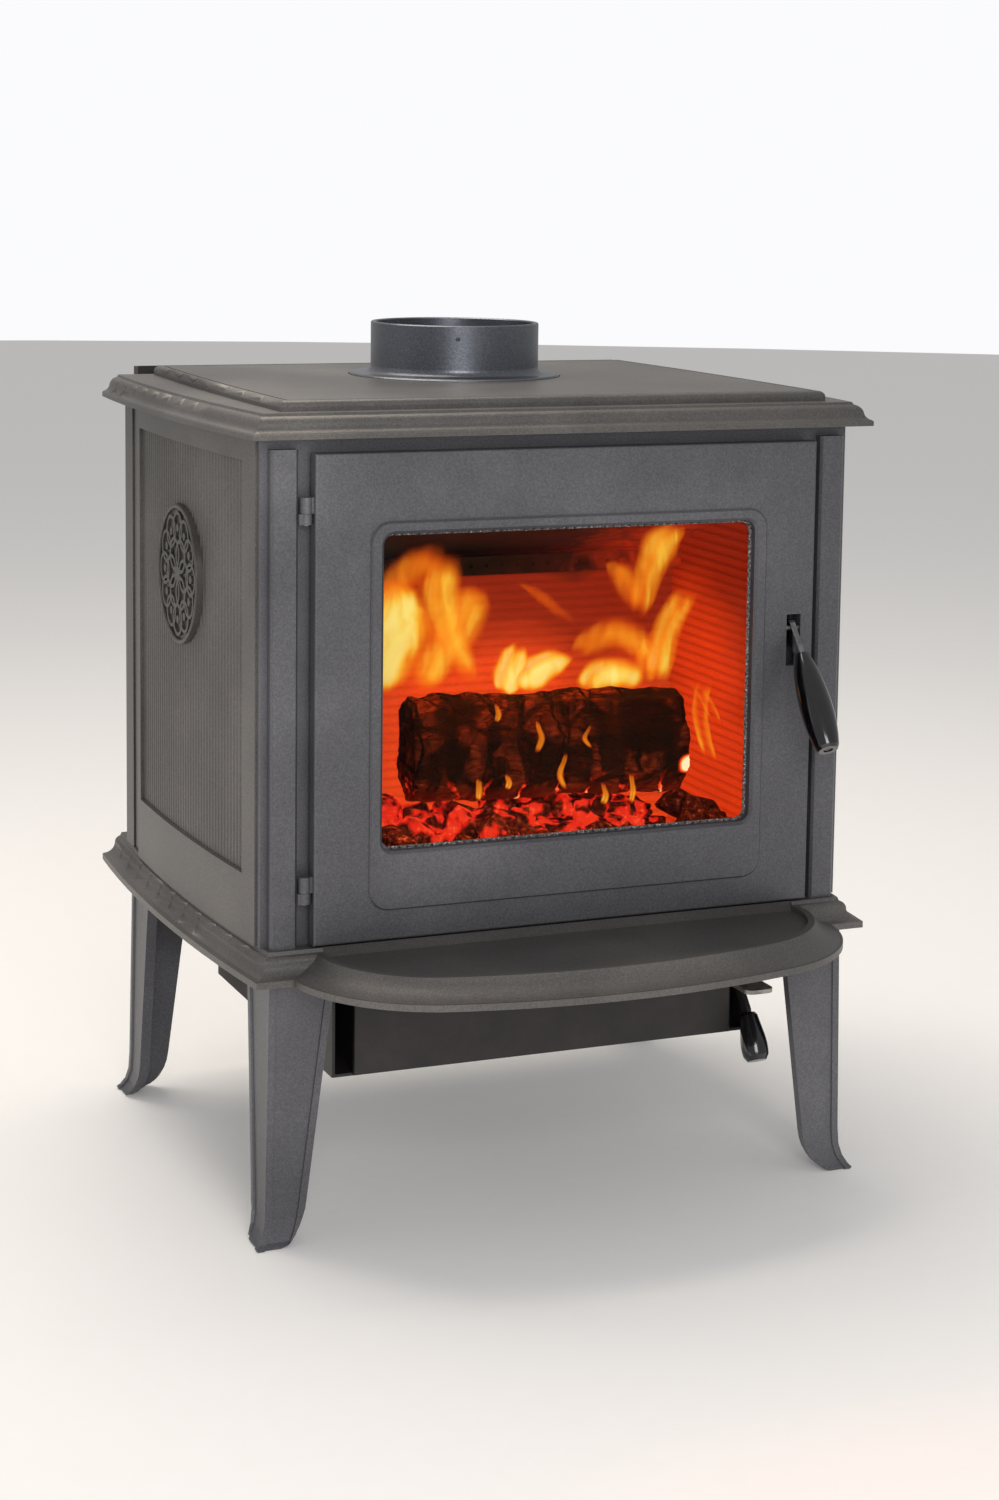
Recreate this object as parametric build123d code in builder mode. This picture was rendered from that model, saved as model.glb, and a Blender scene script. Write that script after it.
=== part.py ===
"""Wood burning stove: cast-iron body with moulded plates, glazed door, ash drawer and log fire.

Millimetres, +Z up, the door faces -Y, +X is the viewer's right. The origin is at floor level
under the middle of the bounding box.
"""
from build123d import *
import math
import os

os.makedirs("parts", exist_ok=True)

# overall body
half_width = 345.0
side_radius = 2800.0
side_axis_y = 104.0
front_y = -185.0
wall_inset = 18.0
body_z0 = 290.0
body_z1 = 782.0

# base plate with the curved ash lip
base_z0 = 261.0
base_front_y = -212.0
base_back_y = 342.0
lip_front_y = -365.0
lip_half_width = 290.0
lip_shoulder_x = 180.0
lip_shoulder_y = -341.5
tray_floor_z = 280.0

# top plate
top_front_y = -203.0
top_back_y = 329.0
tread_z = 805.5
field_z = 815.5
flue_y = 132.0
spigot_radius = 90.0
spigot_bore_radius = 84.5
spigot_top_z = 872.0
flange_radius = 113.0

# door
door_x0 = -264.5
door_x1 = 268.5
door_z0 = 292.5
door_z1 = 767.5
door_front_y = -194.0
door_back_y = -180.0
hinge_x = -271.2
hinge_y = -186.0
hinge_pin_radius = 3.5
latch_x = 245.5
latch_y = -187.0
latch_z = 576.0

# ash box and controls
box_half_width = 228.0
box_front_y = -143.0
box_z0 = 143.0
lever_x = 221.5
lever_y = -95.0
lever_z = 205.0

# legs
leg_mirror_y = 58.0
running_gap = 0.05


def side_x(y, inset):
    """Half-width of the bowed side at a depth y, moved inwards by an inset."""
    radius = side_radius - inset
    return half_width - side_radius + math.sqrt(radius ** 2 - (y - side_axis_y) ** 2)


def bow_plan(y0, y1, outer, inner):
    """Make the plan of a bowed wall on the +X side between two depths."""
    mid = (y0 + y1) / 2
    with BuildSketch() as plan:
        with BuildLine():
            ThreePointArc((side_x(y0, outer), y0), (side_x(mid, outer), mid), (side_x(y1, outer), y1))
            Line((side_x(y1, outer), y1), (side_x(y1, inner), y1))
            ThreePointArc((side_x(y1, inner), y1), (side_x(mid, inner), mid), (side_x(y0, inner), y0))
            Line((side_x(y0, inner), y0), (side_x(y0, outer), y0))
        make_face()
    return plan.sketch


def block(x0, x1, y0, y1, z0, z1, mode=Mode.ADD):
    """Add or cut a box given by its limits."""
    with Locations(((x0 + x1) / 2, (y0 + y1) / 2, (z0 + z1) / 2)):
        Box(x1 - x0, y1 - y0, z1 - z0, mode=mode)


def rod(centre, radius, length, direction, mode=Mode.ADD):
    """Add or cut a cylinder centred on a point, along X, Y or Z."""
    turn = {"X": (0, 90, 0), "Y": (90, 0, 0), "Z": (0, 0, 0)}[direction]
    with Locations(Location(centre, turn)):
        Cylinder(radius, length, mode=mode)


def edge_moulding(steps, arcs, sign):
    """Make one edge moulding from points (inset, height), closed across the plate."""
    def place(point):
        return (sign * point[0], point[1])
    with BuildSketch() as moulding:
        with BuildLine():
            for start, end in zip(steps[:-1], steps[1:]):
                if (start, end) in arcs:
                    ThreePointArc(place(start), place(arcs[(start, end)]), place(end))
                else:
                    Line(place(start), place(end))
        make_face()
    return moulding.sketch


def lip_plan(inset):
    """Make the curved ash-lip outline, moved inwards by an inset."""
    corner = (lip_half_width - inset, base_front_y)
    shoulder = (lip_shoulder_x - inset * 0.26, lip_shoulder_y + inset * 0.965)
    with BuildSketch() as plan:
        with BuildLine():
            front = ThreePointArc((-shoulder[0], shoulder[1]), (0, lip_front_y + inset), shoulder)
            right = TangentArc(shoulder, corner, tangent=front % 1)
            Line(corner, (corner[0], -170))
            Line((corner[0], -170), (-corner[0], -170))
            Line((-corner[0], -170), (-corner[0], corner[1]))
            mirror(right, about=Plane.YZ)
        make_face()
    return plan.sketch


def ring_plan(outer, inner):
    """Make a flat ring."""
    with BuildSketch() as plan:
        Circle(outer)
        Circle(inner, mode=Mode.SUBTRACT)
    return plan.sketch


# base plate: moulded slab with bowed sides, curved ash lip with a sunk tray, grate seat
base_steps = [
    (0, base_z0), (0, 267.5), (5, 268.5), (14, 279), (20, 286.5), (21.5, 290), (700, 290),
    (700, base_z0), (0, base_z0),
]
base_arcs = {
    ((5, 268.5), (14, 279)): (11, 272.2),
    ((14, 279), (20, 286.5)): (16, 284.3),
}
with BuildPart() as base_plate:
    with BuildSketch(Plane.YZ):
        with Locations((base_front_y, 0)):
            add(edge_moulding(base_steps, base_arcs, 1))
    extrude(amount=half_width + 10, both=True)
    block(-400, 400, base_back_y, base_back_y + 400, 200, 320, mode=Mode.SUBTRACT)
    for side in (1, -1):
        with BuildSketch(Plane.XZ.offset(-side_axis_y)):
            with Locations((side * half_width, 0)):
                add(edge_moulding(base_steps, base_arcs, -side))
        revolve(axis=Axis((side * (half_width - side_radius), side_axis_y, 0), (0, 0, 1)),
                mode=Mode.INTERSECT)
    with BuildSketch(Plane.XY.offset(base_z0)):
        add(lip_plan(0))
    extrude(amount=6.5)
    for inset, height in ((3, 267.5), (12, 271), (22, 277.5), (29, 285.5)):
        with BuildSketch(Plane.XY.offset(height)):
            add(lip_plan(inset))
    loft(ruled=False)
    with BuildSketch(Plane.XY.offset(tray_floor_z)):
        add(lip_plan(36))
        with Locations((0, -170)):
            Rectangle(600, 38, mode=Mode.SUBTRACT)
    extrude(amount=20, mode=Mode.SUBTRACT)
    block(-150, 150, -130, 110, 282, 300, mode=Mode.SUBTRACT)
    block(-140, 140, -120, 100, 272, 300, mode=Mode.SUBTRACT)
    block(-128, 128, -120, 100, 250, 300, mode=Mode.SUBTRACT)
    for side in (1, -1):
        block(side * 266 - 34, side * 266 + 34, -110, 230, 250, 278, mode=Mode.SUBTRACT)
        block(side * 186 - 30, side * 186 + 30, -120, 240, 250, 278, mode=Mode.SUBTRACT)
    block(-120, 120, 130, 235, 250, 278, mode=Mode.SUBTRACT)
    with BuildSketch(Plane.XY.offset(250)):
        add(lip_plan(46))
        with Locations((0, -190)):
            Rectangle(600, 64, mode=Mode.SUBTRACT)
    extrude(amount=21, mode=Mode.SUBTRACT)
    for x in (60, 100, 140):
        rod((x, -148, 275), 9, 60, "Z", mode=Mode.SUBTRACT)
    for x in (-281, 281):
        for y in (-160, 276):
            rod((x, y, 270), 4.1, 20, "Z", mode=Mode.SUBTRACT)
base_plate.part.label = "base_plate"
export_step(base_plate.part, "parts/base_plate.step")

# top plate: moulded edge, flat tread and raised field with a fine groove
top_steps = [
    (0, body_z1), (0, 786.5), (1.5, 788), (8, 794.5), (16.5, 803), (18, tread_z), (700, tread_z),
    (700, body_z1), (0, body_z1),
]
top_arcs = {
    ((1.5, 788), (8, 794.5)): (5.6, 790.2),
    ((8, 794.5), (16.5, 803)): (10.9, 800.2),
}
with BuildPart() as top_plate:
    with BuildSketch(Plane.YZ):
        with Locations((top_front_y, 0)):
            add(edge_moulding(top_steps, top_arcs, 1))
    extrude(amount=half_width + 10, both=True)
    block(-400, 400, top_back_y, top_back_y + 400, 700, 900, mode=Mode.SUBTRACT)
    for side in (1, -1):
        with BuildSketch(Plane.XZ.offset(-side_axis_y)):
            with Locations((side * half_width, 0)):
                add(edge_moulding(top_steps, top_arcs, -side))
        revolve(axis=Axis((side * (half_width - side_radius), side_axis_y, 0), (0, 0, 1)),
                mode=Mode.INTERSECT)
    with BuildSketch(Plane.XY.offset(tread_z)) as field_plan:
        with BuildLine():
            Line((-291, -167), (291, -167))
            ThreePointArc((291, -167), (291, 80), (281, 318))
            Line((281, 318), (-281, 318))
            ThreePointArc((-281, 318), (-291, 80), (-291, -167))
        make_face()
    extrude(amount=field_z - tread_z)
    fillet(top_plate.faces().sort_by(Axis.Z)[-1].outer_wire().edges(), 6)
    with BuildSketch(Plane.XY.offset(field_z)):
        offset(field_plan.sketch, amount=-9)
        offset(field_plan.sketch, amount=-11, mode=Mode.SUBTRACT)
    extrude(amount=-1.4, mode=Mode.SUBTRACT)
    rod((0, flue_y, field_z), flange_radius + 1, 6, "Z", mode=Mode.SUBTRACT)
    rod((0, flue_y, 800), spigot_bore_radius + 1, 60, "Z", mode=Mode.SUBTRACT)
    with BuildSketch(Plane.XY.offset(770)):
        with Locations((0, 70)):
            Rectangle(560, 436)
        with Locations((0, flue_y)):
            Circle(flange_radius + 8, mode=Mode.SUBTRACT)
    extrude(amount=37, mode=Mode.SUBTRACT)
    with Locations((0, flue_y, 800)):
        with PolarLocations(101, 3, start_angle=30):
            Cylinder(4.1, 60, mode=Mode.SUBTRACT)
top_plate.part.label = "top_plate"
export_step(top_plate.part, "parts/top_plate.step")

# flue collar: flange and spigot turned as one casting, three radial fixing holes
with BuildPart() as flue_collar:
    with BuildSketch(Plane.XZ.offset(-flue_y)):
        with BuildLine():
            Line((spigot_bore_radius, 812.5), (flange_radius, 812.5))
            Line((flange_radius, 812.5), (flange_radius, 816))
            Line((flange_radius, 816), (flange_radius - 1.5, 817.5))
            Line((flange_radius - 1.5, 817.5), (98, 817.5))
            ThreePointArc((98, 817.5), (92.3, 819.8), (spigot_radius, 825.5))
            Line((spigot_radius, 825.5), (spigot_radius, spigot_top_z - 1))
            Line((spigot_radius, spigot_top_z - 1), (spigot_radius - 1, spigot_top_z))
            Line((spigot_radius - 1, spigot_top_z), (spigot_bore_radius + 1, spigot_top_z))
            Line((spigot_bore_radius + 1, spigot_top_z), (spigot_bore_radius, spigot_top_z - 1))
            Line((spigot_bore_radius, spigot_top_z - 1), (spigot_bore_radius, 812.5))
        make_face()
    revolve(axis=Axis((0, flue_y, 0), (0, 0, 1)))
    with Locations((0, flue_y, 858)):
        with PolarLocations(88, 3, start_angle=-109):
            with Locations(Location((0, 0, 0), (0, 90, 0))):
                Cylinder(2.6, 14, mode=Mode.SUBTRACT)
    with Locations((0, flue_y, 812.5)):
        with PolarLocations(101, 3, start_angle=30):
            Cylinder(4.05, 6, mode=Mode.SUBTRACT)
flue_collar.part.label = "flue_collar"
export_step(flue_collar.part, "parts/flue_collar.step")

# three bolts that hold the collar down from inside the body
with BuildPart() as flue_bolts:
    with Locations((0, flue_y, 798)):
        with PolarLocations(101, 3, start_angle=30):
            Cylinder(4.0, 33)
    with BuildSketch(Plane.XY.offset(775.5)):
        with Locations((0, flue_y)):
            with PolarLocations(101, 3, start_angle=30):
                RegularPolygon(7.5, 6)
    extrude(amount=6.5)
flue_bolts.part.label = "flue_bolts"
export_step(flue_bolts.part, "parts/flue_bolts.step")

# front frame: door opening, pilasters, hinge lugs and latch keeper slot
with BuildPart() as front_frame:
    block(-312, 312, -173, -163, body_z0, body_z1)
    for side in (1, -1):
        block(side * 291.5 - 13.5, side * 291.5 + 13.5, front_y, -173, body_z0, 771)
    chamfer(front_frame.faces().sort_by(Axis.Y)[:2].edges().filter_by(Axis.Z), 2.5)
    with BuildSketch(Plane.XZ.offset(150)):
        with Locations((-8, 537.5)):
            RectangleRounded(448, 395, 14)
    extrude(amount=60, mode=Mode.SUBTRACT)
    block(238, 253, -190, -165.5, 553, 594, mode=Mode.SUBTRACT)
    for z0, z1 in ((700, 710.3), (334, 344.3)):
        rod((hinge_x, hinge_y, (z0 + z1) / 2), 6, z1 - z0, "Z")
        block(-279, hinge_x, hinge_y - 4, hinge_y + 6, z0, z1)
        rod((hinge_x, hinge_y, (z0 + z1) / 2), hinge_pin_radius + 0.02, z1 - z0 + 2, "Z",
            mode=Mode.SUBTRACT)
front_frame.part.label = "front_frame"
export_step(front_frame.part, "parts/front_frame.step")

with BuildPart() as hinge_pins:
    for z0 in (700, 334):
        rod((hinge_x, hinge_y, z0 + 11.5), hinge_pin_radius, 25, "Z")
hinge_pins.part.label = "hinge_pins"
export_step(hinge_pins.part, "parts/hinge_pins.step")

# side castings: bowed wall with a sunk fluted field and a flat round seat
field_y0 = -131.0
field_y1 = 215.0
field_z0 = 355.0
field_z1 = 757.0
flute_count = 40
medallion_y = 60.0
medallion_z = 622.0
medallion_radius = 71.0
seat_x = 320.5
with BuildPart() as side_panel_right:
    with BuildSketch(Plane.XY.offset(body_z0)):
        add(bow_plan(-163, 227, wall_inset, wall_inset + 12))
    extrude(amount=body_z1 - body_z0)
    chamfer(side_panel_right.edges().filter_by(Axis.Z).sort_by(Axis.X)[-4:].sort_by(Axis.Y)[0], 4)
    with BuildSketch(Plane.XY.offset(body_z0)):
        add(bow_plan(226, 268, wall_inset + 6, wall_inset + 12))
    extrude(amount=body_z1 - body_z0)
    with BuildSketch(Plane.XY.offset(field_z0)):
        add(bow_plan(field_y0, field_y1, wall_inset - 3, wall_inset + 4))
    extrude(amount=field_z1 - field_z0, mode=Mode.SUBTRACT)
    pitch = (field_y1 - field_y0) / flute_count
    with BuildSketch(Plane.XY.offset(field_z0)):
        for index in range(flute_count):
            y = field_y0 + pitch * (index + 0.5)
            with Locations((side_x(y, wall_inset + 1), y)):
                Circle(4.2)
    extrude(amount=field_z1 - field_z0, mode=Mode.SUBTRACT)
    with BuildSketch(Plane.YZ.offset(seat_x)):
        with Locations((medallion_y, medallion_z)):
            Circle(medallion_radius + 0.6)
    extrude(amount=20, mode=Mode.SUBTRACT)
side_panel_right.part.label = "side_panel_right"
export_step(side_panel_right.part, "parts/side_panel_right.step")

with BuildPart() as side_panel_left:
    add(mirror(side_panel_right.part, about=Plane.YZ))
side_panel_left.part.label = "side_panel_left"
export_step(side_panel_left.part, "parts/side_panel_left.step")

# round medallions: beaded rim and interlaced rings
with BuildPart() as medallion_right:
    with BuildSketch(Plane.YZ.offset(seat_x)):
        with Locations((medallion_y, medallion_z)):
            Circle(medallion_radius)
    extrude(amount=4)
    with BuildSketch(Plane.YZ.offset(seat_x + 4)):
        with Locations((medallion_y, medallion_z)):
            Circle(medallion_radius)
            Circle(medallion_radius - 4, mode=Mode.SUBTRACT)
    extrude(amount=3.6)
    fillet(medallion_right.faces().sort_by(Axis.X)[-1].edges(), 1.2)
    with BuildSketch(Plane.YZ.offset(seat_x + 4)):
        with Locations((medallion_y, medallion_z)):
            with PolarLocations(47, 12):
                add(ring_plan(17, 13.6))
            with PolarLocations(22, 6):
                add(ring_plan(17.5, 14))
            with PolarLocations(47, 12):
                Circle(4.2)
            Circle(6)
    extrude(amount=2.6)
medallion_right.part.label = "medallion_right"
export_step(medallion_right.part, "parts/medallion_right.step")

with BuildPart() as medallion_left:
    add(mirror(medallion_right.part, about=Plane.YZ))
medallion_left.part.label = "medallion_left"
export_step(medallion_left.part, "parts/medallion_left.step")

# rear plate with two corner columns
with BuildPart() as rear_plate:
    block(-290, 290, 291, 300, body_z0, body_z1)
    for side in (1, -1):
        block(side * 301 - 17, side * 301 + 17, 270, 305, body_z0, body_z1)
        block(side * 297 - 12, side * 297 + 12, 260, 296, body_z0 + 9, body_z1 - 9,
              mode=Mode.SUBTRACT)
    fillet(rear_plate.edges().filter_by(Axis.Z).group_by(Axis.X)[0].sort_by(Axis.Y)[-1], 6)
    fillet(rear_plate.edges().filter_by(Axis.Z).group_by(Axis.X)[-1].sort_by(Axis.Y)[-1], 6)
    for x in (-230, 230):
        for z in (400, 700):
            rod((x, 300, z), 3.05, 60, "Y", mode=Mode.SUBTRACT)
rear_plate.part.label = "rear_plate"
export_step(rear_plate.part, "parts/rear_plate.step")

# rear heat shield on spacers
with BuildPart() as rear_heat_shield:
    block(-291, 291, 363.5, 365, 340, 812)
    for side in (1, -1):
        block(side * 290.25 - 0.75, side * 290.25 + 0.75, 348, 364, 340, 812)
    for x in (-230, 230):
        for z in (400, 700):
            rod((x, 364, z), 3.2, 10, "Y", mode=Mode.SUBTRACT)
    with BuildSketch(Plane.XZ.offset(-364)):
        with Locations((0, 740)):
            with GridLocations(60, 1, 7, 1):
                SlotOverall(44, 9)
    extrude(amount=6, both=True, mode=Mode.SUBTRACT)
rear_heat_shield.part.label = "rear_heat_shield"
export_step(rear_heat_shield.part, "parts/rear_heat_shield.step")

with BuildPart() as shield_spacers:
    for x in (-230, 230):
        for z in (400, 700):
            rod((x, 331.75, z), 8, 63.5, "Y")
            rod((x, 331.75, z), 3.2, 70, "Y", mode=Mode.SUBTRACT)
shield_spacers.part.label = "shield_spacers"
export_step(shield_spacers.part, "parts/shield_spacers.step")

with BuildPart() as shield_screws:
    for x in (-230, 230):
        for z in (400, 700):
            rod((x, 327, z), 3.0, 76, "Y")
            rod((x, 295 - 13, z), 3.0, 14, "Y")
            with BuildSketch(Plane.XZ.offset(-284)):
                with Locations((x, z)):
                    RegularPolygon(6.5, 6)
            extrude(amount=5)
shield_screws.part.label = "shield_screws"
export_step(shield_screws.part, "parts/shield_screws.step")

# firebox lining: ribbed bricks, fire back, baffle and secondary air bar
rib_pitch = 10.0
with BuildPart() as fire_back:
    block(-296, 296, 172, 180, body_z0, 640)
    for x in (-180, 0, 180):
        block(x - 5, x + 5, 180, 196, 300, 630)
fire_back.part.label = "fire_back"
export_step(fire_back.part, "parts/fire_back.step")

with BuildPart() as firebrick_back:
    block(-271, 271, 145, 171.5, body_z0, 596)
    with BuildSketch(Plane.YZ):
        for index in range(29):
            with Locations((145, 303 + rib_pitch * index)):
                Rectangle(6, 4.4)
    extrude(amount=300, both=True, mode=Mode.SUBTRACT)
firebrick_back.part.label = "firebrick_back"
export_step(firebrick_back.part, "parts/firebrick_back.step")

with BuildPart() as firebrick_right:
    with BuildSketch(Plane.YZ.offset(272)):
        Polygon((-162, body_z0), (171.5, body_z0), (171.5, 609), (-92, 711), (-162, 711), align=None)
    extrude(amount=24)
    with BuildSketch(Plane.XZ):
        for index in range(40):
            with Locations((272, 303 + rib_pitch * index)):
                Rectangle(6, 4.4)
    extrude(amount=300, both=True, mode=Mode.SUBTRACT)
firebrick_right.part.label = "firebrick_right"
export_step(firebrick_right.part, "parts/firebrick_right.step")

with BuildPart() as firebrick_left:
    add(mirror(firebrick_right.part, about=Plane.YZ))
firebrick_left.part.label = "firebrick_left"
export_step(firebrick_left.part, "parts/firebrick_left.step")

with BuildPart() as secondary_air_bar:
    block(-271, 271, 123, 144.5, 596.5, 617)
    block(-269, 269, 125, 142.5, 598.5, 615, mode=Mode.SUBTRACT)
    with Locations(Location((0, 123, 607), (90, 0, 0))):
        with GridLocations(18, 1, 29, 1):
            Cylinder(2.4, 10, mode=Mode.SUBTRACT)
secondary_air_bar.part.label = "secondary_air_bar"
export_step(secondary_air_bar.part, "parts/secondary_air_bar.step")

with BuildPart() as baffle_plate:
    with BuildSketch(Plane.YZ):
        Polygon((171.5, 609.1), (-92, 711.1), (-92, 733), (-80, 733), (171.5, 635.6), align=None)
    extrude(amount=295, both=True)
    block(-300, 300, 160, 180, 600, 640, mode=Mode.SUBTRACT)
    block(-271.2, 271.2, 100, 150, 590, 618, mode=Mode.SUBTRACT)
baffle_plate.part.label = "baffle_plate"
export_step(baffle_plate.part, "parts/baffle_plate.step")

# grates: a fixed one in the floor and a riddling one under it
with BuildPart() as fixed_grate:
    block(-149.5, 149.5, -129.5, 109.5, 282, 290)
    for column in (-92, 0, 92):
        for row in range(8):
            y = -101 + 26 * row
            with Locations((column, y, 286)):
                Box(78, 12, 20, mode=Mode.SUBTRACT)
fixed_grate.part.label = "fixed_grate"
export_step(fixed_grate.part, "parts/fixed_grate.step")

with BuildPart() as riddling_grate:
    block(-138, 138, -118, 80, 272.3, 280)
    for column in (-84, 0, 84):
        for row in range(7):
            y = -101 + 26 * row
            with Locations((column, y, 276)):
                Box(70, 12, 20, mode=Mode.SUBTRACT)
    block(112, 120, lever_y - 7, lever_y + 9, 252, 276)
    block(112, 214, lever_y - 7, lever_y + 9, 252, 258)
    block(208, 214, lever_y - 12, lever_y + 14, 218, 258)
    with BuildSketch(Plane.YZ.offset(200)):
        with Locations((lever_y, 241)):
            SlotOverall(16, 7.4, rotation=90)
    extrude(amount=30, mode=Mode.SUBTRACT)
riddling_grate.part.label = "riddling_grate"
export_step(riddling_grate.part, "parts/riddling_grate.step")

# log retainer across the front of the fire
with BuildPart() as log_retainer:
    block(-262, 262, -140, -132, body_z0, 352)
    for side in (1, -1):
        block(side * 256 - 6, side * 256 + 6, -132, -112, body_z0, 320)
    for index in range(12):
        block(-231 + 40 * index, -209 + 40 * index, -150, -120, 306, 334, mode=Mode.SUBTRACT)
    fillet(log_retainer.edges().filter_by(Axis.X).sort_by(Axis.Z)[-2:], 3)
log_retainer.part.label = "log_retainer"
export_step(log_retainer.part, "parts/log_retainer.step")

# door casting: raised window frame, glass rebate, rope groove, handle slot, hinge knuckles
window_x = 2.0
with BuildPart() as door_casting:
    block(door_x0, door_x1, door_front_y, door_back_y, door_z0, door_z1)
    fillet(door_casting.faces().sort_by(Axis.Y)[0].edges(), 2)
    with BuildSketch(Plane.XZ.offset(-door_front_y)):
        with Locations((window_x, 511.5)):
            RectangleRounded(422, 379, 20)
    extrude(amount=3.2)
    chamfer(door_casting.faces().sort_by(Axis.Y)[0].edges(), 1.8)
    with BuildSketch(Plane.XZ.offset(170)):
        with Locations((window_x, 534.5)):
            RectangleRounded(396, 309, 11)
    extrude(amount=60, mode=Mode.SUBTRACT)
    chamfer(door_casting.faces().sort_by(Axis.Y)[0].inner_wires()[0].edges(), 3)
    with BuildSketch(Plane.XZ.offset(-door_back_y)):
        with Locations((window_x, 534.5)):
            RectangleRounded(420, 333, 6)
    extrude(amount=6, mode=Mode.SUBTRACT)
    with BuildSketch(Plane.XZ.offset(-door_back_y)):
        with Locations((-9, 530)):
            RectangleRounded(486, 449, 16)
            RectangleRounded(464, 427, 6, mode=Mode.SUBTRACT)
    extrude(amount=4, mode=Mode.SUBTRACT)
    block(238.5, 254.5, -210, -170, 538, 591, mode=Mode.SUBTRACT)
    rod((latch_x, latch_y, latch_z), 3.05, 34, "X", mode=Mode.SUBTRACT)
    for x in (-100, 104):
        for z in (361, 708):
            rod((x, door_back_y, z), 2.55, 18, "Y", mode=Mode.SUBTRACT)
    for z0, z1 in ((710.8, 726), (344.8, 360)):
        rod((hinge_x, hinge_y, (z0 + z1) / 2), 6, z1 - z0, "Z")
        block(hinge_x, door_x0 + 2, hinge_y - 4, hinge_y + 4, z0, z1)
        rod((hinge_x, hinge_y, z0 + 6.8), hinge_pin_radius + running_gap, 15.4, "Z",
            mode=Mode.SUBTRACT)
door_casting.part.label = "door_casting"
export_step(door_casting.part, "parts/door_casting.step")

with BuildPart() as door_glass:
    with BuildSketch(Plane.XZ.offset(180)):
        with Locations((window_x, 534.5)):
            RectangleRounded(418, 331, 5)
    extrude(amount=4)
door_glass.part.label = "door_glass"
export_step(door_glass.part, "parts/door_glass.step")

with BuildPart() as glass_gasket:
    with BuildSketch(Plane.XZ.offset(184)):
        with Locations((window_x, 534.5)):
            RectangleRounded(418, 331, 5)
            RectangleRounded(391, 304, 9, mode=Mode.SUBTRACT)
    extrude(amount=2)
glass_gasket.part.label = "glass_gasket"
export_step(glass_gasket.part, "parts/glass_gasket.step")

with BuildPart() as glass_clips:
    for x in (-100, 104):
        for z, inner in ((361, 369), (708, 700)):
            z0 = min(z - 7, inner - 3)
            z1 = max(z + 7, inner + 3)
            block(x - 14, x + 14, -180, -178.2, z0, z1)
            rod((x, -179, z), 2.7, 6, "Y", mode=Mode.SUBTRACT)
glass_clips.part.label = "glass_clips"
export_step(glass_clips.part, "parts/glass_clips.step")

with BuildPart() as clip_screws:
    for x in (-100, 104):
        for z in (361, 708):
            rod((x, -182.2, z), 2.5, 8, "Y")
            rod((x, -177.1, z), 4.5, 2.2, "Y")
clip_screws.part.label = "clip_screws"
export_step(clip_screws.part, "parts/clip_screws.step")

with BuildPart() as door_rope:
    with BuildSketch(Plane.XZ.offset(184)):
        with Locations((-9, 530)):
            RectangleRounded(485, 448, 16)
            RectangleRounded(465, 428, 6, mode=Mode.SUBTRACT)
    extrude(amount=-10.6)
    fillet(door_rope.faces().sort_by(Axis.Y)[-1].edges(), 3)
door_rope.part.label = "door_rope"
export_step(door_rope.part, "parts/door_rope.step")

# latch lever with its pivot pin, and the tapered grip
grip_top = Vector(latch_x, -214, 552)
grip_way = Vector(0, -62, -86).normalized()

def latch_plan():
    """Make the side view of the latch lever: pivot eye, catch finger, arm and tang."""
    with BuildSketch() as plan:
        with Locations((latch_y, latch_z)):
            Circle(9)
        Polygon((-183.5, 567.4), (-212.5, 545.3), (-219, 552.7), (-191.5, 584), align=None)
        Polygon((-187, 582), (-171, 581), (-167, 577), (-171, 573), (-187, 570), align=None)
        Polygon((-211.5, 553.7), (-224, 536.4), (-228.8, 539.9), (-216.6, 556.5), align=None)
        with Locations((latch_y, latch_z)):
            Circle(3.1, mode=Mode.SUBTRACT)
    return plan.sketch


with BuildPart() as latch_lever:
    with BuildSketch(Plane.YZ.offset(latch_x - 3)):
        add(latch_plan())
    extrude(amount=6)
latch_lever.part.label = "latch_lever"
export_step(latch_lever.part, "parts/latch_lever.step")

with BuildPart() as latch_pin:
    rod((latch_x, latch_y, latch_z), 3.0, 33, "X")
latch_pin.part.label = "latch_pin"
export_step(latch_pin.part, "parts/latch_pin.step")

with BuildPart() as handle_grip:
    with BuildSketch(Plane(grip_top, x_dir=grip_way, z_dir=(1, 0, 0))):
        with BuildLine():
            Line((0, 0), (0, 8))
            Spline((0, 8), (18, 12.6), (42, 15.8), (66, 16.7), (88, 14.9), (103, 12))
            Line((103, 12), (106, 10))
            Line((106, 10), (106, 5))
            Line((106, 5), (102, 5))
            Line((102, 5), (102, 0))
            Line((102, 0), (0, 0))
        make_face()
    revolve(axis=Axis(grip_top, grip_way))
    with BuildSketch(Plane.YZ.offset(latch_x - 3.05)):
        offset(latch_plan(), amount=0.05)
    extrude(amount=6.1, mode=Mode.SUBTRACT)
handle_grip.part.label = "handle_grip"
export_step(handle_grip.part, "parts/handle_grip.step")

with BuildPart() as grip_screw:
    with Locations(Plane(grip_top + grip_way * 102.05, z_dir=grip_way)):
        Cylinder(4.2, 2.6, align=(Align.CENTER, Align.CENTER, Align.MIN))
        with Locations((0, 0, 1.6)):
            Box(1.2, 6.4, 2, align=(Align.CENTER, Align.CENTER, Align.MIN), mode=Mode.SUBTRACT)
grip_screw.part.label = "grip_screw"
export_step(grip_screw.part, "parts/grip_screw.step")


def leg_section(corner, arm_x, arm_y, wall):
    """Sketch an L-shaped leg section with its corner at the front right."""
    x, y = corner
    Polygon((x, y), (x, y + arm_y), (x - wall, y + arm_y), (x - wall, y + wall),
            (x - arm_x, y + wall), (x - arm_x, y), align=None)


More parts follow.
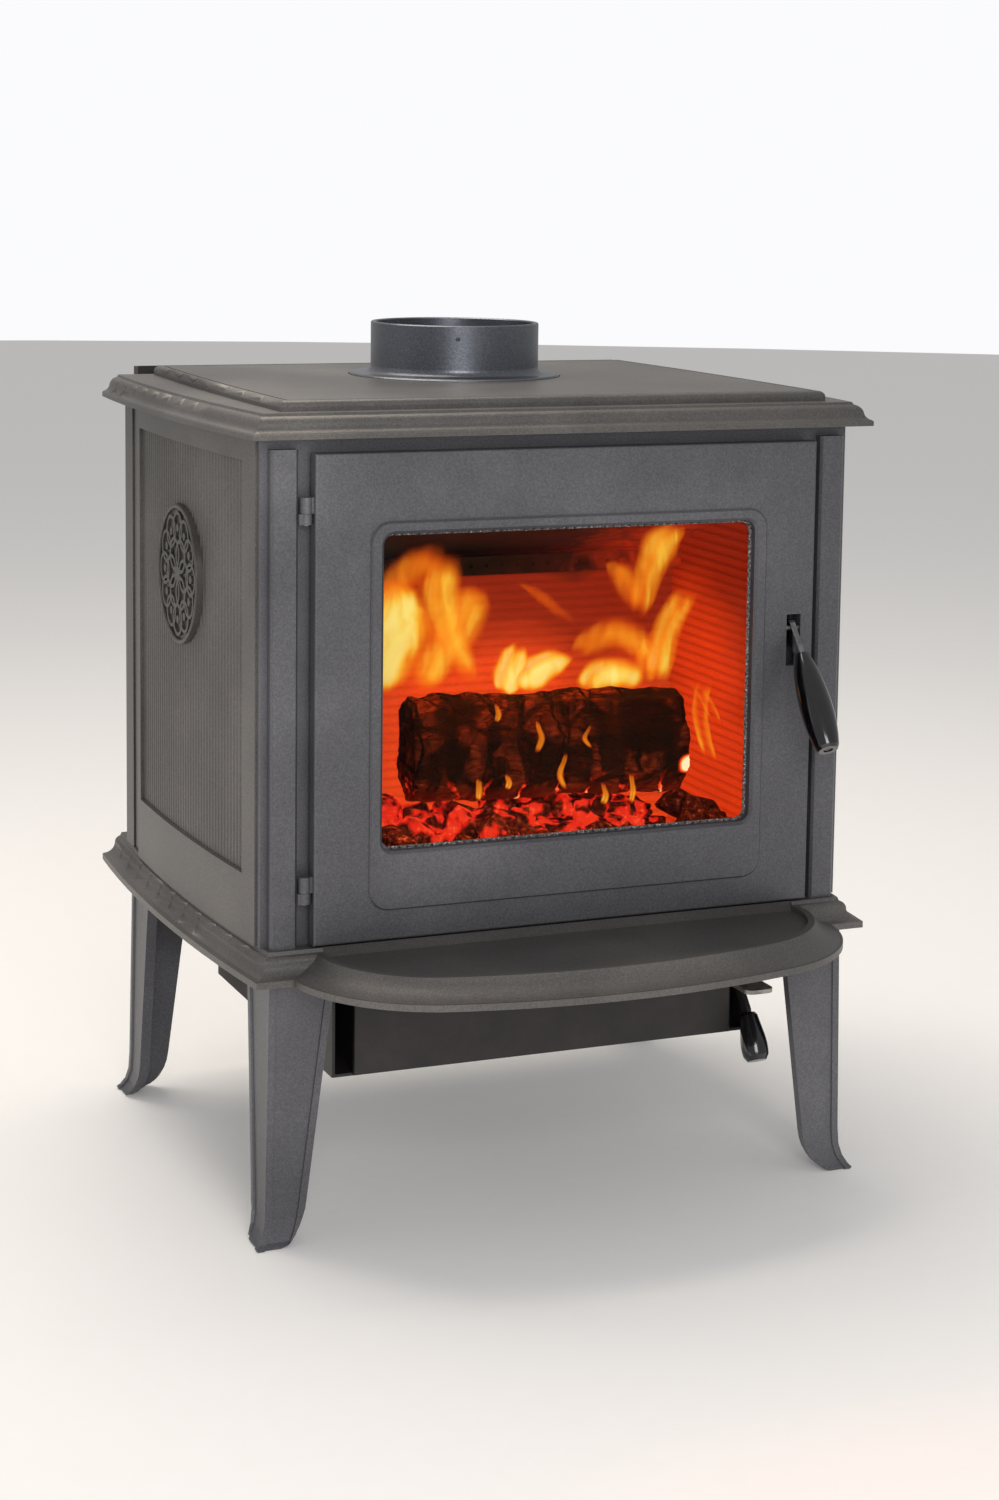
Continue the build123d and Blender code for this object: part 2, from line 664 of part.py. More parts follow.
def rim_section(corner, arm_x, arm_y, place):
    """Sketch one raised rim of the leg section: at the end of an arm or along the corner."""
    x, y = corner
    if place == "x_end":
        Polygon((x - arm_x, y + 3), (x - arm_x, y - 2), (x - arm_x + 7, y - 2),
                (x - arm_x + 9, y + 3), align=None)
    elif place == "y_end":
        Polygon((x - 3, y + arm_y), (x + 2, y + arm_y), (x + 2, y + arm_y - 7),
                (x - 3, y + arm_y - 9), align=None)
    else:
        Polygon((x + 2, y - 2), (x + 2, y + 5), (x - 3, y + 7), (x - 3, y + 3), (x - 7, y + 3),
                (x - 5, y - 2), align=None)


# legs: corner castings with raised rims, a curved toe and a bolting flange
leg_stations = (
    (261, (307, -193), 64, 70),
    (44, (311, -194), 40, 44),
    (26, (312, -195), 38, 42),
    (14, (315, -198), 37, 41),
    (6, (319.5, -202.5), 36.5, 40.5),
    (2.5, (322.8, -205.8), 36.3, 40.3),
    (0, (321.5, -204.5), 34, 38),
)
with BuildPart() as leg_front_right:
    for height, corner, arm_x, arm_y in leg_stations:
        with BuildSketch(Plane.XY.offset(height)):
            leg_section(corner, arm_x, arm_y, 9)
    loft(ruled=True)
    for place in ("x_end", "y_end", "corner"):
        for height, corner, arm_x, arm_y in leg_stations:
            with BuildSketch(Plane.XY.offset(height)):
                rim_section(corner, arm_x, arm_y, place)
        loft(ruled=True)
    block(255, 302, -188, -136, 252, 261)
    rod((281, -160, 256), 5.2, 20, "Z", mode=Mode.SUBTRACT)
    with BuildSketch(Plane.XZ.offset(230)):
        Polygon((260, -1), (303, -1), (296, 1.5), (289.5, 5.5), (284, 11), (279.5, 17.5),
                (275.5, 25.5), (273, 33), (260, 33), align=None)
    extrude(amount=-65, mode=Mode.SUBTRACT)
    with BuildSketch(Plane.YZ.offset(290)):
        Polygon((-140, -1), (-183, -1), (-176, 1.5), (-169.5, 5.5), (-164, 11), (-159.5, 17.5),
                (-155.5, 25.5), (-152, 33), (-140, 33), align=None)
    extrude(amount=60, mode=Mode.SUBTRACT)
leg_front_right.part.label = "leg_front_right"
export_step(leg_front_right.part, "parts/leg_front_right.step")

with BuildPart() as leg_front_left:
    add(mirror(leg_front_right.part, about=Plane.YZ))
leg_front_left.part.label = "leg_front_left"
export_step(leg_front_left.part, "parts/leg_front_left.step")

with BuildPart() as leg_rear_right:
    add(mirror(leg_front_right.part, about=Plane.XZ.offset(-leg_mirror_y)))
leg_rear_right.part.label = "leg_rear_right"
export_step(leg_rear_right.part, "parts/leg_rear_right.step")

with BuildPart() as leg_rear_left:
    add(mirror(leg_rear_right.part, about=Plane.YZ))
leg_rear_left.part.label = "leg_rear_left"
export_step(leg_rear_left.part, "parts/leg_rear_left.step")

with BuildPart() as leg_bolts:
    for x in (-281, 281):
        for y in (-160, 276):
            rod((x, y, 263), 4.0, 24, "Z")
            with BuildSketch(Plane.XY.offset(245)):
                with Locations((x, y)):
                    RegularPolygon(8.5, 6)
            extrude(amount=6.5)
leg_bolts.part.label = "leg_bolts"
export_step(leg_bolts.part, "parts/leg_bolts.step")

# ash housing hung under the base plate, and the drawer in it
with BuildPart() as ash_housing:
    block(-box_half_width, box_half_width, box_front_y, 250, box_z0, base_z0)
    block(-box_half_width + 3, box_half_width - 3, box_front_y - 10, 247, box_z0 + 3, base_z0 + 10,
          mode=Mode.SUBTRACT)
    block(box_half_width - 10, box_half_width + 10, box_front_y - 10, -60, 213, base_z0 + 10,
          mode=Mode.SUBTRACT)
    rod((box_half_width, lever_y, lever_z), 4.05, 20, "X", mode=Mode.SUBTRACT)
ash_housing.part.label = "ash_housing"
export_step(ash_housing.part, "parts/ash_housing.step")

with BuildPart() as ash_drawer:
    block(-200, 200, -143.2, 240, 146.4, 232)
    block(-198, 198, -141.2, 238, 148.4, 240, mode=Mode.SUBTRACT)
ash_drawer.part.label = "ash_drawer"
export_step(ash_drawer.part, "parts/ash_drawer.step")

with BuildPart() as drawer_front:
    block(-207, 207, -149.2, -143.2, 144.5, 240)
    fillet(drawer_front.faces().sort_by(Axis.Y)[0].edges(), 1.6)
drawer_front.part.label = "drawer_front"
export_step(drawer_front.part, "parts/drawer_front.step")

# primary air slide: shutter plate under the floor holes with a flat pull tongue
with BuildPart() as air_slide:
    block(34, 190, -172, -134, 256, 259)
    for x in (60, 100, 140):
        rod((x, -150, 257), 8, 10, "Z", mode=Mode.SUBTRACT)
    block(126, 156, -172, -160, 246, 256)
    block(126, 156, -345, -160, 246, 250)
    fillet(air_slide.edges().filter_by(Axis.Z).sort_by(Axis.Y)[:2], 8)
air_slide.part.label = "air_slide"
export_step(air_slide.part, "parts/air_slide.step")

with BuildPart() as slide_guides:
    for x0, x1 in ((36, 94), (166, 186)):
        block(x0, x1, -178, -172.5, 252, 261)
        block(x0, x1, -178, -168, 252, 255.5)
    block(36, 186, -133.5, -129, 252, 261)
    block(36, 186, -138, -129, 252, 255.5)
slide_guides.part.label = "slide_guides"
export_step(slide_guides.part, "parts/slide_guides.step")

# riddling lever beside the drawer, with its pin and small grip
knob_top = Vector(lever_x, -163, 167)
knob_way = Vector(0, -22, -44).normalized()
with BuildPart() as riddling_lever:
    with BuildSketch(Plane.YZ.offset(lever_x - 2.5)):
        with Locations((lever_y, lever_z)):
            Circle(9)
        Polygon((lever_y - 6.5, lever_z + 2), (lever_y - 6.5, 246), (lever_y + 6.5, 246),
                (lever_y + 6.5, lever_z + 2), align=None)
        Polygon((lever_y, lever_z + 9), (-141, 197), (-164.5, 171.5), (-156, 163.5), (-137, 183),
                (lever_y, lever_z - 9), align=None)
        Polygon((-155.5, 171), (-161, 156.5), (-168.7, 160.3), (-163.5, 173), align=None)
        with Locations((lever_y, lever_z)):
            Circle(4.1, mode=Mode.SUBTRACT)
    extrude(amount=5)
    rod((lever_x - 9, lever_y, lever_z + 36), 3, 14, "X")
riddling_lever.part.label = "riddling_lever"
export_step(riddling_lever.part, "parts/riddling_lever.step")

with BuildPart() as lever_pin:
    rod((lever_x + 1.75, lever_y, lever_z), 4.0, 14, "X")
    rod((lever_x - 4, lever_y, lever_z), 6.5, 2.6, "X")
lever_pin.part.label = "lever_pin"
export_step(lever_pin.part, "parts/lever_pin.step")

with BuildPart() as riddling_grip:
    with BuildSketch(Plane(knob_top, x_dir=knob_way, z_dir=(1, 0, 0))):
        with BuildLine():
            Line((0, 0), (0, 7))
            Line((0, 7), (3, 9.3))
            Spline((3, 9.3), (18, 12), (36, 14.1), (45, 13.2))
            Line((45, 13.2), (50, 10))
            Line((50, 10), (50, 0))
            Line((50, 0), (0, 0))
        make_face()
    revolve(axis=Axis(knob_top, knob_way))
    with BuildSketch(Plane.YZ.offset(lever_x - 2.55)):
        Polygon((-150, 173), (-160.5, 155.5), (-169.3, 160), (-166, 180), align=None)
    extrude(amount=5.1, mode=Mode.SUBTRACT)
riddling_grip.part.label = "riddling_grip"
export_step(riddling_grip.part, "parts/riddling_grip.step")

# fire: bed of embers on the grate and one log on top
with BuildPart() as ember_bed:
    stations = ((290, 236, 118), (330, 226, 112), (352, 196, 92), (362, 120, 62))
    for height, reach_x, reach_y in stations:
        with BuildSketch(Plane.XY.offset(height)):
            with Locations((0, -6)):
                RectangleRounded(2 * reach_x, 2 * reach_y, 40)
    loft(ruled=True)
    for index in range(34):
        angle = index * 2.399963
        spread = math.sqrt((index + 0.5) / 34)
        x = 205 * spread * math.cos(angle)
        y = -6 + 96 * spread * math.sin(angle)
        z = 359 - 13 * spread
        size = 24 + 9 * ((index * 7) % 5) / 4
        with Locations(Location((x, y, z - 12), (index * 37 % 90, index * 53 % 90, index * 71 % 90))):
            Box(size, size * 0.8, size * 0.7)
    rod((42.5, -30, 437), 60.5, 311, "X", mode=Mode.SUBTRACT)
ember_bed.part.label = "ember_bed"
export_step(ember_bed.part, "parts/ember_bed.step")

log_corners = []
for index in range(14):
    angle = math.radians(360 * index / 14)
    shrink = 1 - 0.025 * ((index * 5) % 3)
    log_corners.append((50 * shrink * math.cos(angle), 59 * shrink * math.sin(angle)))
with BuildPart() as firewood_log:
    with BuildSketch(Plane.YZ.offset(-108)):
        with Locations((-30, 437)):
            Polygon(*log_corners, align=None)
    extrude(amount=301)
    chamfer(firewood_log.faces().sort_by(Axis.X)[-1].edges(), 3)
firewood_log.part.label = "firewood_log"
export_step(firewood_log.part, "parts/firewood_log.step")
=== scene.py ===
"""Finishes, fire, seals and studio for a cast-iron wood burning stove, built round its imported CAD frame."""
import math
import random

import bpy
from mathutils import Matrix, Vector


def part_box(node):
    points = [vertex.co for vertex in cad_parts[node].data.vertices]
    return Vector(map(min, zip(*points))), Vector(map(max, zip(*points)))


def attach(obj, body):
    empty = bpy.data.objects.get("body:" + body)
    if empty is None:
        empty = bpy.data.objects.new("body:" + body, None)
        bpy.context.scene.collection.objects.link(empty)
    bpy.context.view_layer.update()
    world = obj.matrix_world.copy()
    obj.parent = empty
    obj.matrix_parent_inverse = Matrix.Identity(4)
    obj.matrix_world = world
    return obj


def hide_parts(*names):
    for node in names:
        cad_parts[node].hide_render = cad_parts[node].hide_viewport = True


bl_info = {
    "name": "Wood Burning Stove",
    "version": (1, 0, 0),
    "blender": (4, 5, 0),
    "location": "View3D > Sidebar > Stove",
    "description": "Gives a cast-iron stove its finishes, its log fire, its rope seals and a studio",
    "category": "Add Mesh",
}

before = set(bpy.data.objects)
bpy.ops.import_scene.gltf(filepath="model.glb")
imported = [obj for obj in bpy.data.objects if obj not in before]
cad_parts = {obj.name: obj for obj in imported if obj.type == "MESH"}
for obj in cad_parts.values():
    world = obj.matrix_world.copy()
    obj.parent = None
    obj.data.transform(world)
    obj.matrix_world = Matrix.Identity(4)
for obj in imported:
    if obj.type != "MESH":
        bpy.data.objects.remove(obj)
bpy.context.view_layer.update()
MM = 0.001

# real places that several pieces share, in metres
GLASS_CENTRE = Vector((0.002, -0.184, 0.5345))
OPENING_HALF_WIDTH = 0.198
OPENING_HALF_HEIGHT = 0.1545
RIB_PITCH = 0.010
FIRST_GROOVE_Z = 0.303


def linear(code):
    """Turn an sRGB hex colour into linear red, green, blue and alpha."""
    levels = [int(code[i:i + 2], 16) / 255 for i in (1, 3, 5)]
    return tuple(v / 12.92 if v <= 0.04045 else ((v + 0.055) / 1.055) ** 2.4 for v in levels) + (1.0,)


def add_node(tree, kind, inputs=None, stops=None, **settings):
    """Add a shader node with its settings, its input values or links, and its ramp stops."""
    node = tree.nodes.new("ShaderNode" + kind)
    for name, value in settings.items():
        setattr(node, name, value)
    if stops:
        points = node.color_ramp.elements
        for place, _ in stops[1:-1]:
            points.new(place)
        for point, (place, colour) in zip(points, stops):
            point.position = place
            point.color = linear(colour)
    for socket, value in (inputs or {}).items():
        if isinstance(value, bpy.types.NodeSocket):
            tree.links.new(value, node.inputs[socket])
        else:
            node.inputs[socket].default_value = value
    return node


def new_material(name):
    """Make an empty material and return it with its tree and its object coordinates."""
    material = bpy.data.materials.new(name)
    material.use_nodes = True
    tree = material.node_tree
    tree.nodes.clear()
    place = add_node(tree, "TexCoord").outputs["Object"]
    return material, tree, place


def finish_material(tree, shader):
    """Send a shader to the material output."""
    add_node(tree, "OutputMaterial", {"Surface": shader.outputs[0]})


def paint(material, *names):
    """Give CAD nodes a material in every slot they have."""
    for name in names:
        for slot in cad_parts[name].material_slots:
            slot.material = material


def start_piece(name):
    """Name the object just added and return it."""
    piece = bpy.context.active_object
    piece.name = name
    piece.data.name = name
    return piece


def mesh_piece(name, points, faces):
    """Make a piece from points and faces, put it in the scene and return it."""
    mesh = bpy.data.meshes.new(name)
    mesh.from_pydata(points, [], faces)
    piece = bpy.data.objects.new(name, mesh)
    bpy.context.scene.collection.objects.link(piece)
    return piece


def clear_selection():
    """Deselect everything, in object mode."""
    if bpy.context.mode != "OBJECT":
        bpy.ops.object.mode_set(mode="OBJECT")
    bpy.ops.object.select_all(action="DESELECT")


def select_only(piece):
    """Make one piece the only selected and the active one."""
    clear_selection()
    piece.select_set(True)
    bpy.context.view_layer.objects.active = piece


def settle(piece, material, body):
    """Put a finished mesh at the origin, give it its material and let it ride on its body."""
    select_only(piece)
    bpy.ops.object.transform_apply(location=True, rotation=True, scale=True)
    piece.data.materials.clear()
    piece.data.materials.append(material)
    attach(piece, body)


def apply_modifier(piece, kind, **settings):
    """Add a modifier with its settings and apply it."""
    select_only(piece)
    modifier = piece.modifiers.new(kind.title(), kind)
    for name, value in settings.items():
        setattr(modifier, name, value)
    bpy.ops.object.modifier_apply(modifier=modifier.name)


def roughen(piece, kind, size, strength, stretch=(1, 1, 1), shift=(0, 0, 0), middle=0.5, **settings):
    """Push the surface in and out by a stretched noise pattern of a real size."""
    pattern = bpy.data.textures.new("Pattern", kind)
    pattern.noise_scale = 1.0
    for name, value in settings.items():
        setattr(pattern, name, value)
    guide = bpy.data.objects.new("Guide", None)
    bpy.context.scene.collection.objects.link(guide)
    guide.location = shift
    guide.scale = [size * share for share in stretch]
    bpy.context.view_layer.update()
    apply_modifier(piece, "DISPLACE", texture=pattern, texture_coords="OBJECT",
                   texture_coords_object=guide, strength=strength, mid_level=middle)
    bpy.data.objects.remove(guide)
    bpy.data.textures.remove(pattern)


def store(piece, name, values):
    """Store one number per vertex for the material to read."""
    made = piece.data.attributes.new(name, "FLOAT", "POINT")
    made.data.foreach_set("value", values)


def smoothstep(low, high, value):
    """Ease from 0 at low to 1 at high."""
    share = min(max((value - low) / (high - low), 0.0), 1.0)
    return share * share * (3 - 2 * share)


# ---------------------------------------------------------------------------------------------
# finishes
# ---------------------------------------------------------------------------------------------

def cast_iron_paint(name, colour, pale, dark, roughness, metallic=0.45):
    """Heat-resistant stove paint sprayed on sand-cast grey iron: a fine even grain under a satin
    grey film, faintly cloudy from the spray, rubbed a little paler along the edges."""
    material, tree, place = new_material(name)
    # sand grain is about 0.5 mm; it is drawn at 1.8 mm so that it shows
    grain = add_node(tree, "TexNoise", {"Vector": place, "Scale": 560.0, "Detail": 2.0, "Roughness": 0.6})
    pits = add_node(tree, "TexNoise", {"Vector": place, "Scale": 210.0, "Detail": 2.0, "Roughness": 0.5})
    cloud = add_node(tree, "TexNoise", {"Vector": place, "Scale": 5.0, "Detail": 4.0, "Roughness": 0.5})
    film = add_node(tree, "ValToRGB", {"Fac": cloud.outputs["Fac"]},
                    stops=((0.25, dark), (0.5, colour), (0.75, pale)))
    speck = add_node(tree, "ValToRGB", {"Fac": grain.outputs["Fac"]},
                     stops=((0.32, "#d2d2d2"), (0.5, "#e6e6e6"), (0.7, "#ffffff")))
    specked = add_node(tree, "Mix", {0: 1.0, 6: film.outputs["Color"], 7: speck.outputs["Color"]},
                       data_type="RGBA", blend_type="MULTIPLY")
    rounded = add_node(tree, "Bevel", {"Radius": 0.9 * MM}, samples=4)
    facing = add_node(tree, "NewGeometry")
    turn = add_node(tree, "VectorMath", {0: rounded.outputs["Normal"], 1: facing.outputs["Normal"]},
                    operation="DOT_PRODUCT")
    edge = add_node(tree, "MapRange", {"Value": turn.outputs["Value"], "From Min": 0.93,
                                       "From Max": 0.75, "To Min": 0.0, "To Max": 0.5})
    worn = add_node(tree, "Mix", {0: edge.outputs["Result"], 6: specked.outputs[2], 7: linear(pale)},
                    data_type="RGBA")
    height = add_node(tree, "Math", {0: grain.outputs["Fac"], 1: pits.outputs["Fac"]}, operation="ADD")
    relief = add_node(tree, "Bump", {"Strength": 0.2, "Distance": 0.6 * MM, "Height": height.outputs[0]})
    gloss = add_node(tree, "MapRange", {"Value": cloud.outputs["Fac"], "From Min": 0.3, "From Max": 0.7,
                                        "To Min": roughness - 0.03, "To Max": roughness + 0.03})
    surface = add_node(tree, "BsdfPrincipled", {
        "Base Color": worn.outputs[2], "Metallic": metallic, "Roughness": gloss.outputs["Result"],
        "IOR": 1.5, "Normal": relief.outputs["Normal"]})
    finish_material(tree, surface)
    return material


def sheet_steel_paint():
    """Black heat-resistant paint on folded sheet steel: smooth, with a slight orange peel and dust."""
    material, tree, place = new_material("Black_Painted_Sheet_Steel")
    peel = add_node(tree, "TexNoise", {"Vector": place, "Scale": 330.0, "Detail": 2.0})
    dust = add_node(tree, "TexNoise", {"Vector": place, "Scale": 22.0, "Detail": 6.0, "Roughness": 0.65})
    colour = add_node(tree, "ValToRGB", {"Fac": dust.outputs["Fac"]},
                      stops=((0.35, "#2a2727"), (0.55, "#332e2d"), (0.75, "#3d3735")))
    relief = add_node(tree, "Bump", {"Strength": 0.15, "Distance": 0.3 * MM, "Height": peel.outputs["Fac"]})
    gloss = add_node(tree, "MapRange", {"Value": dust.outputs["Fac"], "To Min": 0.42, "To Max": 0.6})
    surface = add_node(tree, "BsdfPrincipled", {
        "Base Color": colour.outputs["Color"], "Roughness": gloss.outputs["Result"], "IOR": 1.5,
        "Normal": relief.outputs["Normal"]})
    finish_material(tree, surface)
    return material


def bare_steel(name, colour, shade, roughness, scratch):
    """Plated steel: a bright metal face with fine drawn lines and slight handling marks."""
    material, tree, place = new_material(name)
    lines_place = add_node(tree, "Mapping", {"Vector": place, "Scale": (60.0, 900.0, 900.0)})
    lines = add_node(tree, "TexNoise", {"Vector": lines_place.outputs[0], "Scale": 1.0, "Detail": 3.0})
    marks = add_node(tree, "TexNoise", {"Vector": place, "Scale": 120.0, "Detail": 4.0})
    tone = add_node(tree, "ValToRGB", {"Fac": marks.outputs["Fac"]},
                    stops=((0.35, shade), (0.65, colour)))
    relief = add_node(tree, "Bump", {"Strength": scratch, "Distance": 0.1 * MM,
                                     "Height": lines.outputs["Fac"]})
    gloss = add_node(tree, "MapRange", {"Value": marks.outputs["Fac"], "To Min": roughness - 0.06,
                                        "To Max": roughness + 0.1})
    surface = add_node(tree, "BsdfPrincipled", {
        "Base Color": tone.outputs["Color"], "Metallic": 1.0, "Roughness": gloss.outputs["Result"],
        "Normal": relief.outputs["Normal"]})
    finish_material(tree, surface)
    return material


def black_bakelite():
    """Moulded phenolic grip: deep black, hard and glossy, with faint flow in the surface."""
    material, tree, place = new_material("Black_Bakelite_Grip")
    flow = add_node(tree, "TexNoise", {"Vector": place, "Scale": 90.0, "Detail": 2.0})
    colour = add_node(tree, "ValToRGB", {"Fac": flow.outputs["Fac"]},
                      stops=((0.3, "#08080a"), (0.7, "#111114")))
    relief = add_node(tree, "Bump", {"Strength": 0.05, "Distance": 0.2 * MM,
                                     "Height": flow.outputs["Fac"]})
    gloss = add_node(tree, "MapRange", {"Value": flow.outputs["Fac"], "To Min": 0.1, "To Max": 0.2})
    surface = add_node(tree, "BsdfPrincipled", {
        "Base Color": colour.outputs["Color"], "Roughness": gloss.outputs["Result"], "IOR": 1.62,
        "Coat Weight": 0.4, "Coat Roughness": 0.05, "Normal": relief.outputs["Normal"]})
    finish_material(tree, surface)
    return material


def glass_ceramic():
    """Clear glass-ceramic pane: see-through with a faint warm tint, sharp reflections and a thin
    haze of soot that gathers along the top and the sides."""
    material, tree, place = new_material("Clear_Glass_Ceramic")
    middle = add_node(tree, "Mapping", {"Vector": place, "Location": -GLASS_CENTRE})
    axes = add_node(tree, "SeparateXYZ", {"Vector": middle.outputs[0]})
    # the even power darkens both sides, the odd one only the top
    edge = 0.0
    for axis, half, power in (("X", OPENING_HALF_WIDTH, 6.0), ("Z", OPENING_HALF_HEIGHT, 5.0)):
        share = add_node(tree, "Math", {0: axes.outputs[axis], 1: 1 / half}, operation="MULTIPLY")
        far = add_node(tree, "Math", {0: share.outputs[0], 1: power}, operation="POWER")
        edge = add_node(tree, "Math", {0: edge, 1: far.outputs[0]}, operation="ADD").outputs[0]
    smear = add_node(tree, "TexNoise", {"Vector": place, "Scale": 14.0, "Detail": 5.0})
    soot = add_node(tree, "Math", {0: edge, 1: smear.outputs["Fac"]}, operation="MULTIPLY")
    amount = add_node(tree, "MapRange", {"Value": soot.outputs[0], "From Min": 0.15, "From Max": 0.9,
                                         "To Min": 0.0, "To Max": 0.14})
    clear = add_node(tree, "BsdfTransparent", {"Color": linear("#fdf6ee")})
    mirror = add_node(tree, "BsdfGlossy", {"Color": linear("#303236"), "Roughness": 0.04})
    bend = add_node(tree, "Fresnel", {"IOR": 1.5})
    pane = add_node(tree, "MixShader", {0: bend.outputs[0], 1: clear.outputs[0], 2: mirror.outputs[0]})
    haze = add_node(tree, "BsdfPrincipled", {"Base Color": linear("#1c1612"), "Roughness": 0.6})
    dirty = add_node(tree, "MixShader", {0: amount.outputs["Result"], 1: pane.outputs[0],
                                         2: haze.outputs[0]})
    finish_material(tree, dirty)
    return material


def glass_fibre_rope(name, dark, pale, painted_glint_colour):
    """Knitted glass-fibre rope: two sets of grey yarns that cross, with white flecks painted into the colour
    as glints of the filaments.
    """
    material, tree, place = new_material(name)
    diagonal = add_node(tree, "Mapping", {"Vector": place, "Rotation": (0.0, math.radians(45), 0.0)})
    # a wave of this scale repeats every 6 mm
    yarns = [add_node(tree, "TexWave", {"Vector": diagonal.outputs[0], "Scale": 52.0, "Distortion": 1.2,
                                        "Detail": 1.0}, bands_direction=direction) for direction in "XZ"]
    crossing = add_node(tree, "Math", {0: yarns[0].outputs["Fac"], 1: yarns[1].outputs["Fac"]},
                        operation="MAXIMUM")
    # white specks mixed into the colour: painted glints of the filaments
    painted_glint_noise = add_node(tree, "TexNoise", {"Vector": place, "Scale": 620.0, "Detail": 1.0})
    base = add_node(tree, "ValToRGB", {"Fac": crossing.outputs[0]}, stops=((0.2, dark), (0.9, pale)))
    bright = add_node(tree, "MapRange", {"Value": painted_glint_noise.outputs["Fac"], "From Min": 0.6,
                                         "From Max": 0.68})
    colour = add_node(tree, "Mix", {0: bright.outputs["Result"], 6: base.outputs["Color"],
                                    7: linear(painted_glint_colour)}, data_type="RGBA")
    relief = add_node(tree, "Bump", {"Strength": 0.7, "Distance": 1.0 * MM,
                                     "Height": crossing.outputs[0]})
    surface = add_node(tree, "BsdfPrincipled", {
        "Base Color": colour.outputs[2], "Roughness": 0.55, "IOR": 1.5,
        "Normal": relief.outputs["Normal"]})
    finish_material(tree, surface)
    return material


def firebrick_with_painted_firelight(name, hot, warm, cool, top_z, groove, strength):
    """Pressed vermiculite board with the fire's light painted on as emission: porous, painted orange-red
    where it is near the flames, painted darker towards top_z, and painted shade in each groove, which keeps
    only a share of the rib's brightness."""
    material, tree, place = new_material(name)
    axes = add_node(tree, "SeparateXYZ", {"Vector": place})
    pores = add_node(tree, "TexVoronoi", {"Vector": place, "Scale": 260.0})
    streak_place = add_node(tree, "Mapping", {"Vector": place, "Scale": (6.0, 6.0, 22.0)})
    streak = add_node(tree, "TexNoise", {"Vector": streak_place.outputs[0], "Scale": 1.0, "Detail": 4.0})
    # the lining is painted darker with height, with streaks: painted falloff of the firelight
    height = add_node(tree, "MapRange", {"Value": axes.outputs["Z"], "From Min": 0.42, "From Max": top_z})
    uneven = add_node(tree, "Math", {0: streak.outputs["Fac"], 1: 0.5}, operation="SUBTRACT")
    painted_dimming_with_height = add_node(tree, "Math", {0: uneven.outputs[0], 1: 0.5, 2: height.outputs["Result"]},
                     operation="MULTIPLY_ADD")
    # painted pools of firelight on the wall behind each group of flames
    patches = 0.0
    for centre in ((-0.03, 0.10, 0.53), (0.07, 0.13, 0.50), (0.22, 0.06, 0.54)):
        away = add_node(tree, "VectorMath", {0: place, 1: centre}, operation="DISTANCE")
        near = add_node(tree, "MapRange", {"Value": away.outputs["Value"], "From Min": 0.15,
                                           "From Max": 0.02, "To Max": 0.4},
                        interpolation_type="SMOOTHSTEP")
        patches = add_node(tree, "Math", {0: patches, 1: near.outputs["Result"]},
                           operation="MAXIMUM").outputs[0]
    painted_firelight_falloff = add_node(tree, "Math", {0: painted_dimming_with_height.outputs[0], 1: patches}, operation="SUBTRACT",
                      use_clamp=True)
    heat = add_node(tree, "ValToRGB", {"Fac": painted_firelight_falloff.outputs[0]},
                    stops=((0.0, hot), (0.4, warm), (0.85, warm), (1.0, cool)))
    turns = add_node(tree, "Math", {0: axes.outputs["Z"], 1: -FIRST_GROOVE_Z}, operation="ADD")
    phase = add_node(tree, "Math", {0: turns.outputs[0], 1: 2 * math.pi / RIB_PITCH}, operation="MULTIPLY")
    wave = add_node(tree, "Math", {0: phase.outputs[0]}, operation="COSINE")
    # the grooves are painted darker than the ribs: painted shade in the grooves
    rib = add_node(tree, "MapRange", {"Value": wave.outputs[0], "From Min": -0.2, "From Max": 0.6,
                                      "To Min": 1.0, "To Max": groove})
    grit = add_node(tree, "MapRange", {"Value": pores.outputs["Distance"], "From Max": 0.5,
                                       "To Min": 0.85, "To Max": 1.1})
    shade = add_node(tree, "Math", {0: rib.outputs["Result"], 1: grit.outputs["Result"]},
                     operation="MULTIPLY")
    # the fire's light is painted on the board as emission
    glow = add_node(tree, "VectorMath", {0: heat.outputs["Color"], "Scale": shade.outputs[0]},
                    operation="SCALE")
    relief = add_node(tree, "Bump", {"Strength": 0.4, "Distance": 0.8 * MM,
                                     "Height": pores.outputs["Distance"]})
    surface = add_node(tree, "BsdfPrincipled", {
        "Base Color": linear("#4a2c20"), "Roughness": 0.9, "IOR": 1.45, "Specular IOR Level": 0.2,
        "Emission Color": glow.outputs[0], "Emission Strength": strength,
        "Normal": relief.outputs["Normal"]})
    finish_material(tree, surface)
    return material


def sooted_iron_with_painted_firelight(name, painted_firelight_colour):
    """Grey iron inside the firebox: dull, scaled by heat, brown-black with soot, with a red glow of painted
    firelight towards the right-hand wall."""
    material, tree, place = new_material(name)
    scale = add_node(tree, "TexNoise", {"Vector": place, "Scale": 60.0, "Detail": 6.0, "Roughness": 0.7})
    colour = add_node(tree, "ValToRGB", {"Fac": scale.outputs["Fac"]},
                      stops=((0.3, "#120d0c"), (0.55, "#221916"), (0.75, "#3c2a22")))
    axes = add_node(tree, "SeparateXYZ", {"Vector": place})
    # painted firelight: a red glow painted on, stronger towards the right-hand wall
    side = add_node(tree, "MapRange", {"Value": axes.outputs["X"], "From Min": 0.03, "From Max": 0.23})
    patch = add_node(tree, "Math", {0: side.outputs["Result"], 1: scale.outputs["Fac"]},
                     operation="MULTIPLY")
    glow = add_node(tree, "ValToRGB", {"Fac": patch.outputs[0]},
                    stops=((0.0, "#000000"), (0.25, "#2c0a06"), (0.6, painted_firelight_colour)))
    relief = add_node(tree, "Bump", {"Strength": 0.5, "Distance": 0.8 * MM,
                                     "Height": scale.outputs["Fac"]})
    surface = add_node(tree, "BsdfPrincipled", {
        "Base Color": colour.outputs["Color"], "Metallic": 0.2, "Roughness": 0.8,
        "Emission Color": glow.outputs["Color"], "Emission Strength": 1.0,
        "Normal": relief.outputs["Normal"]})
    finish_material(tree, surface)
    return material


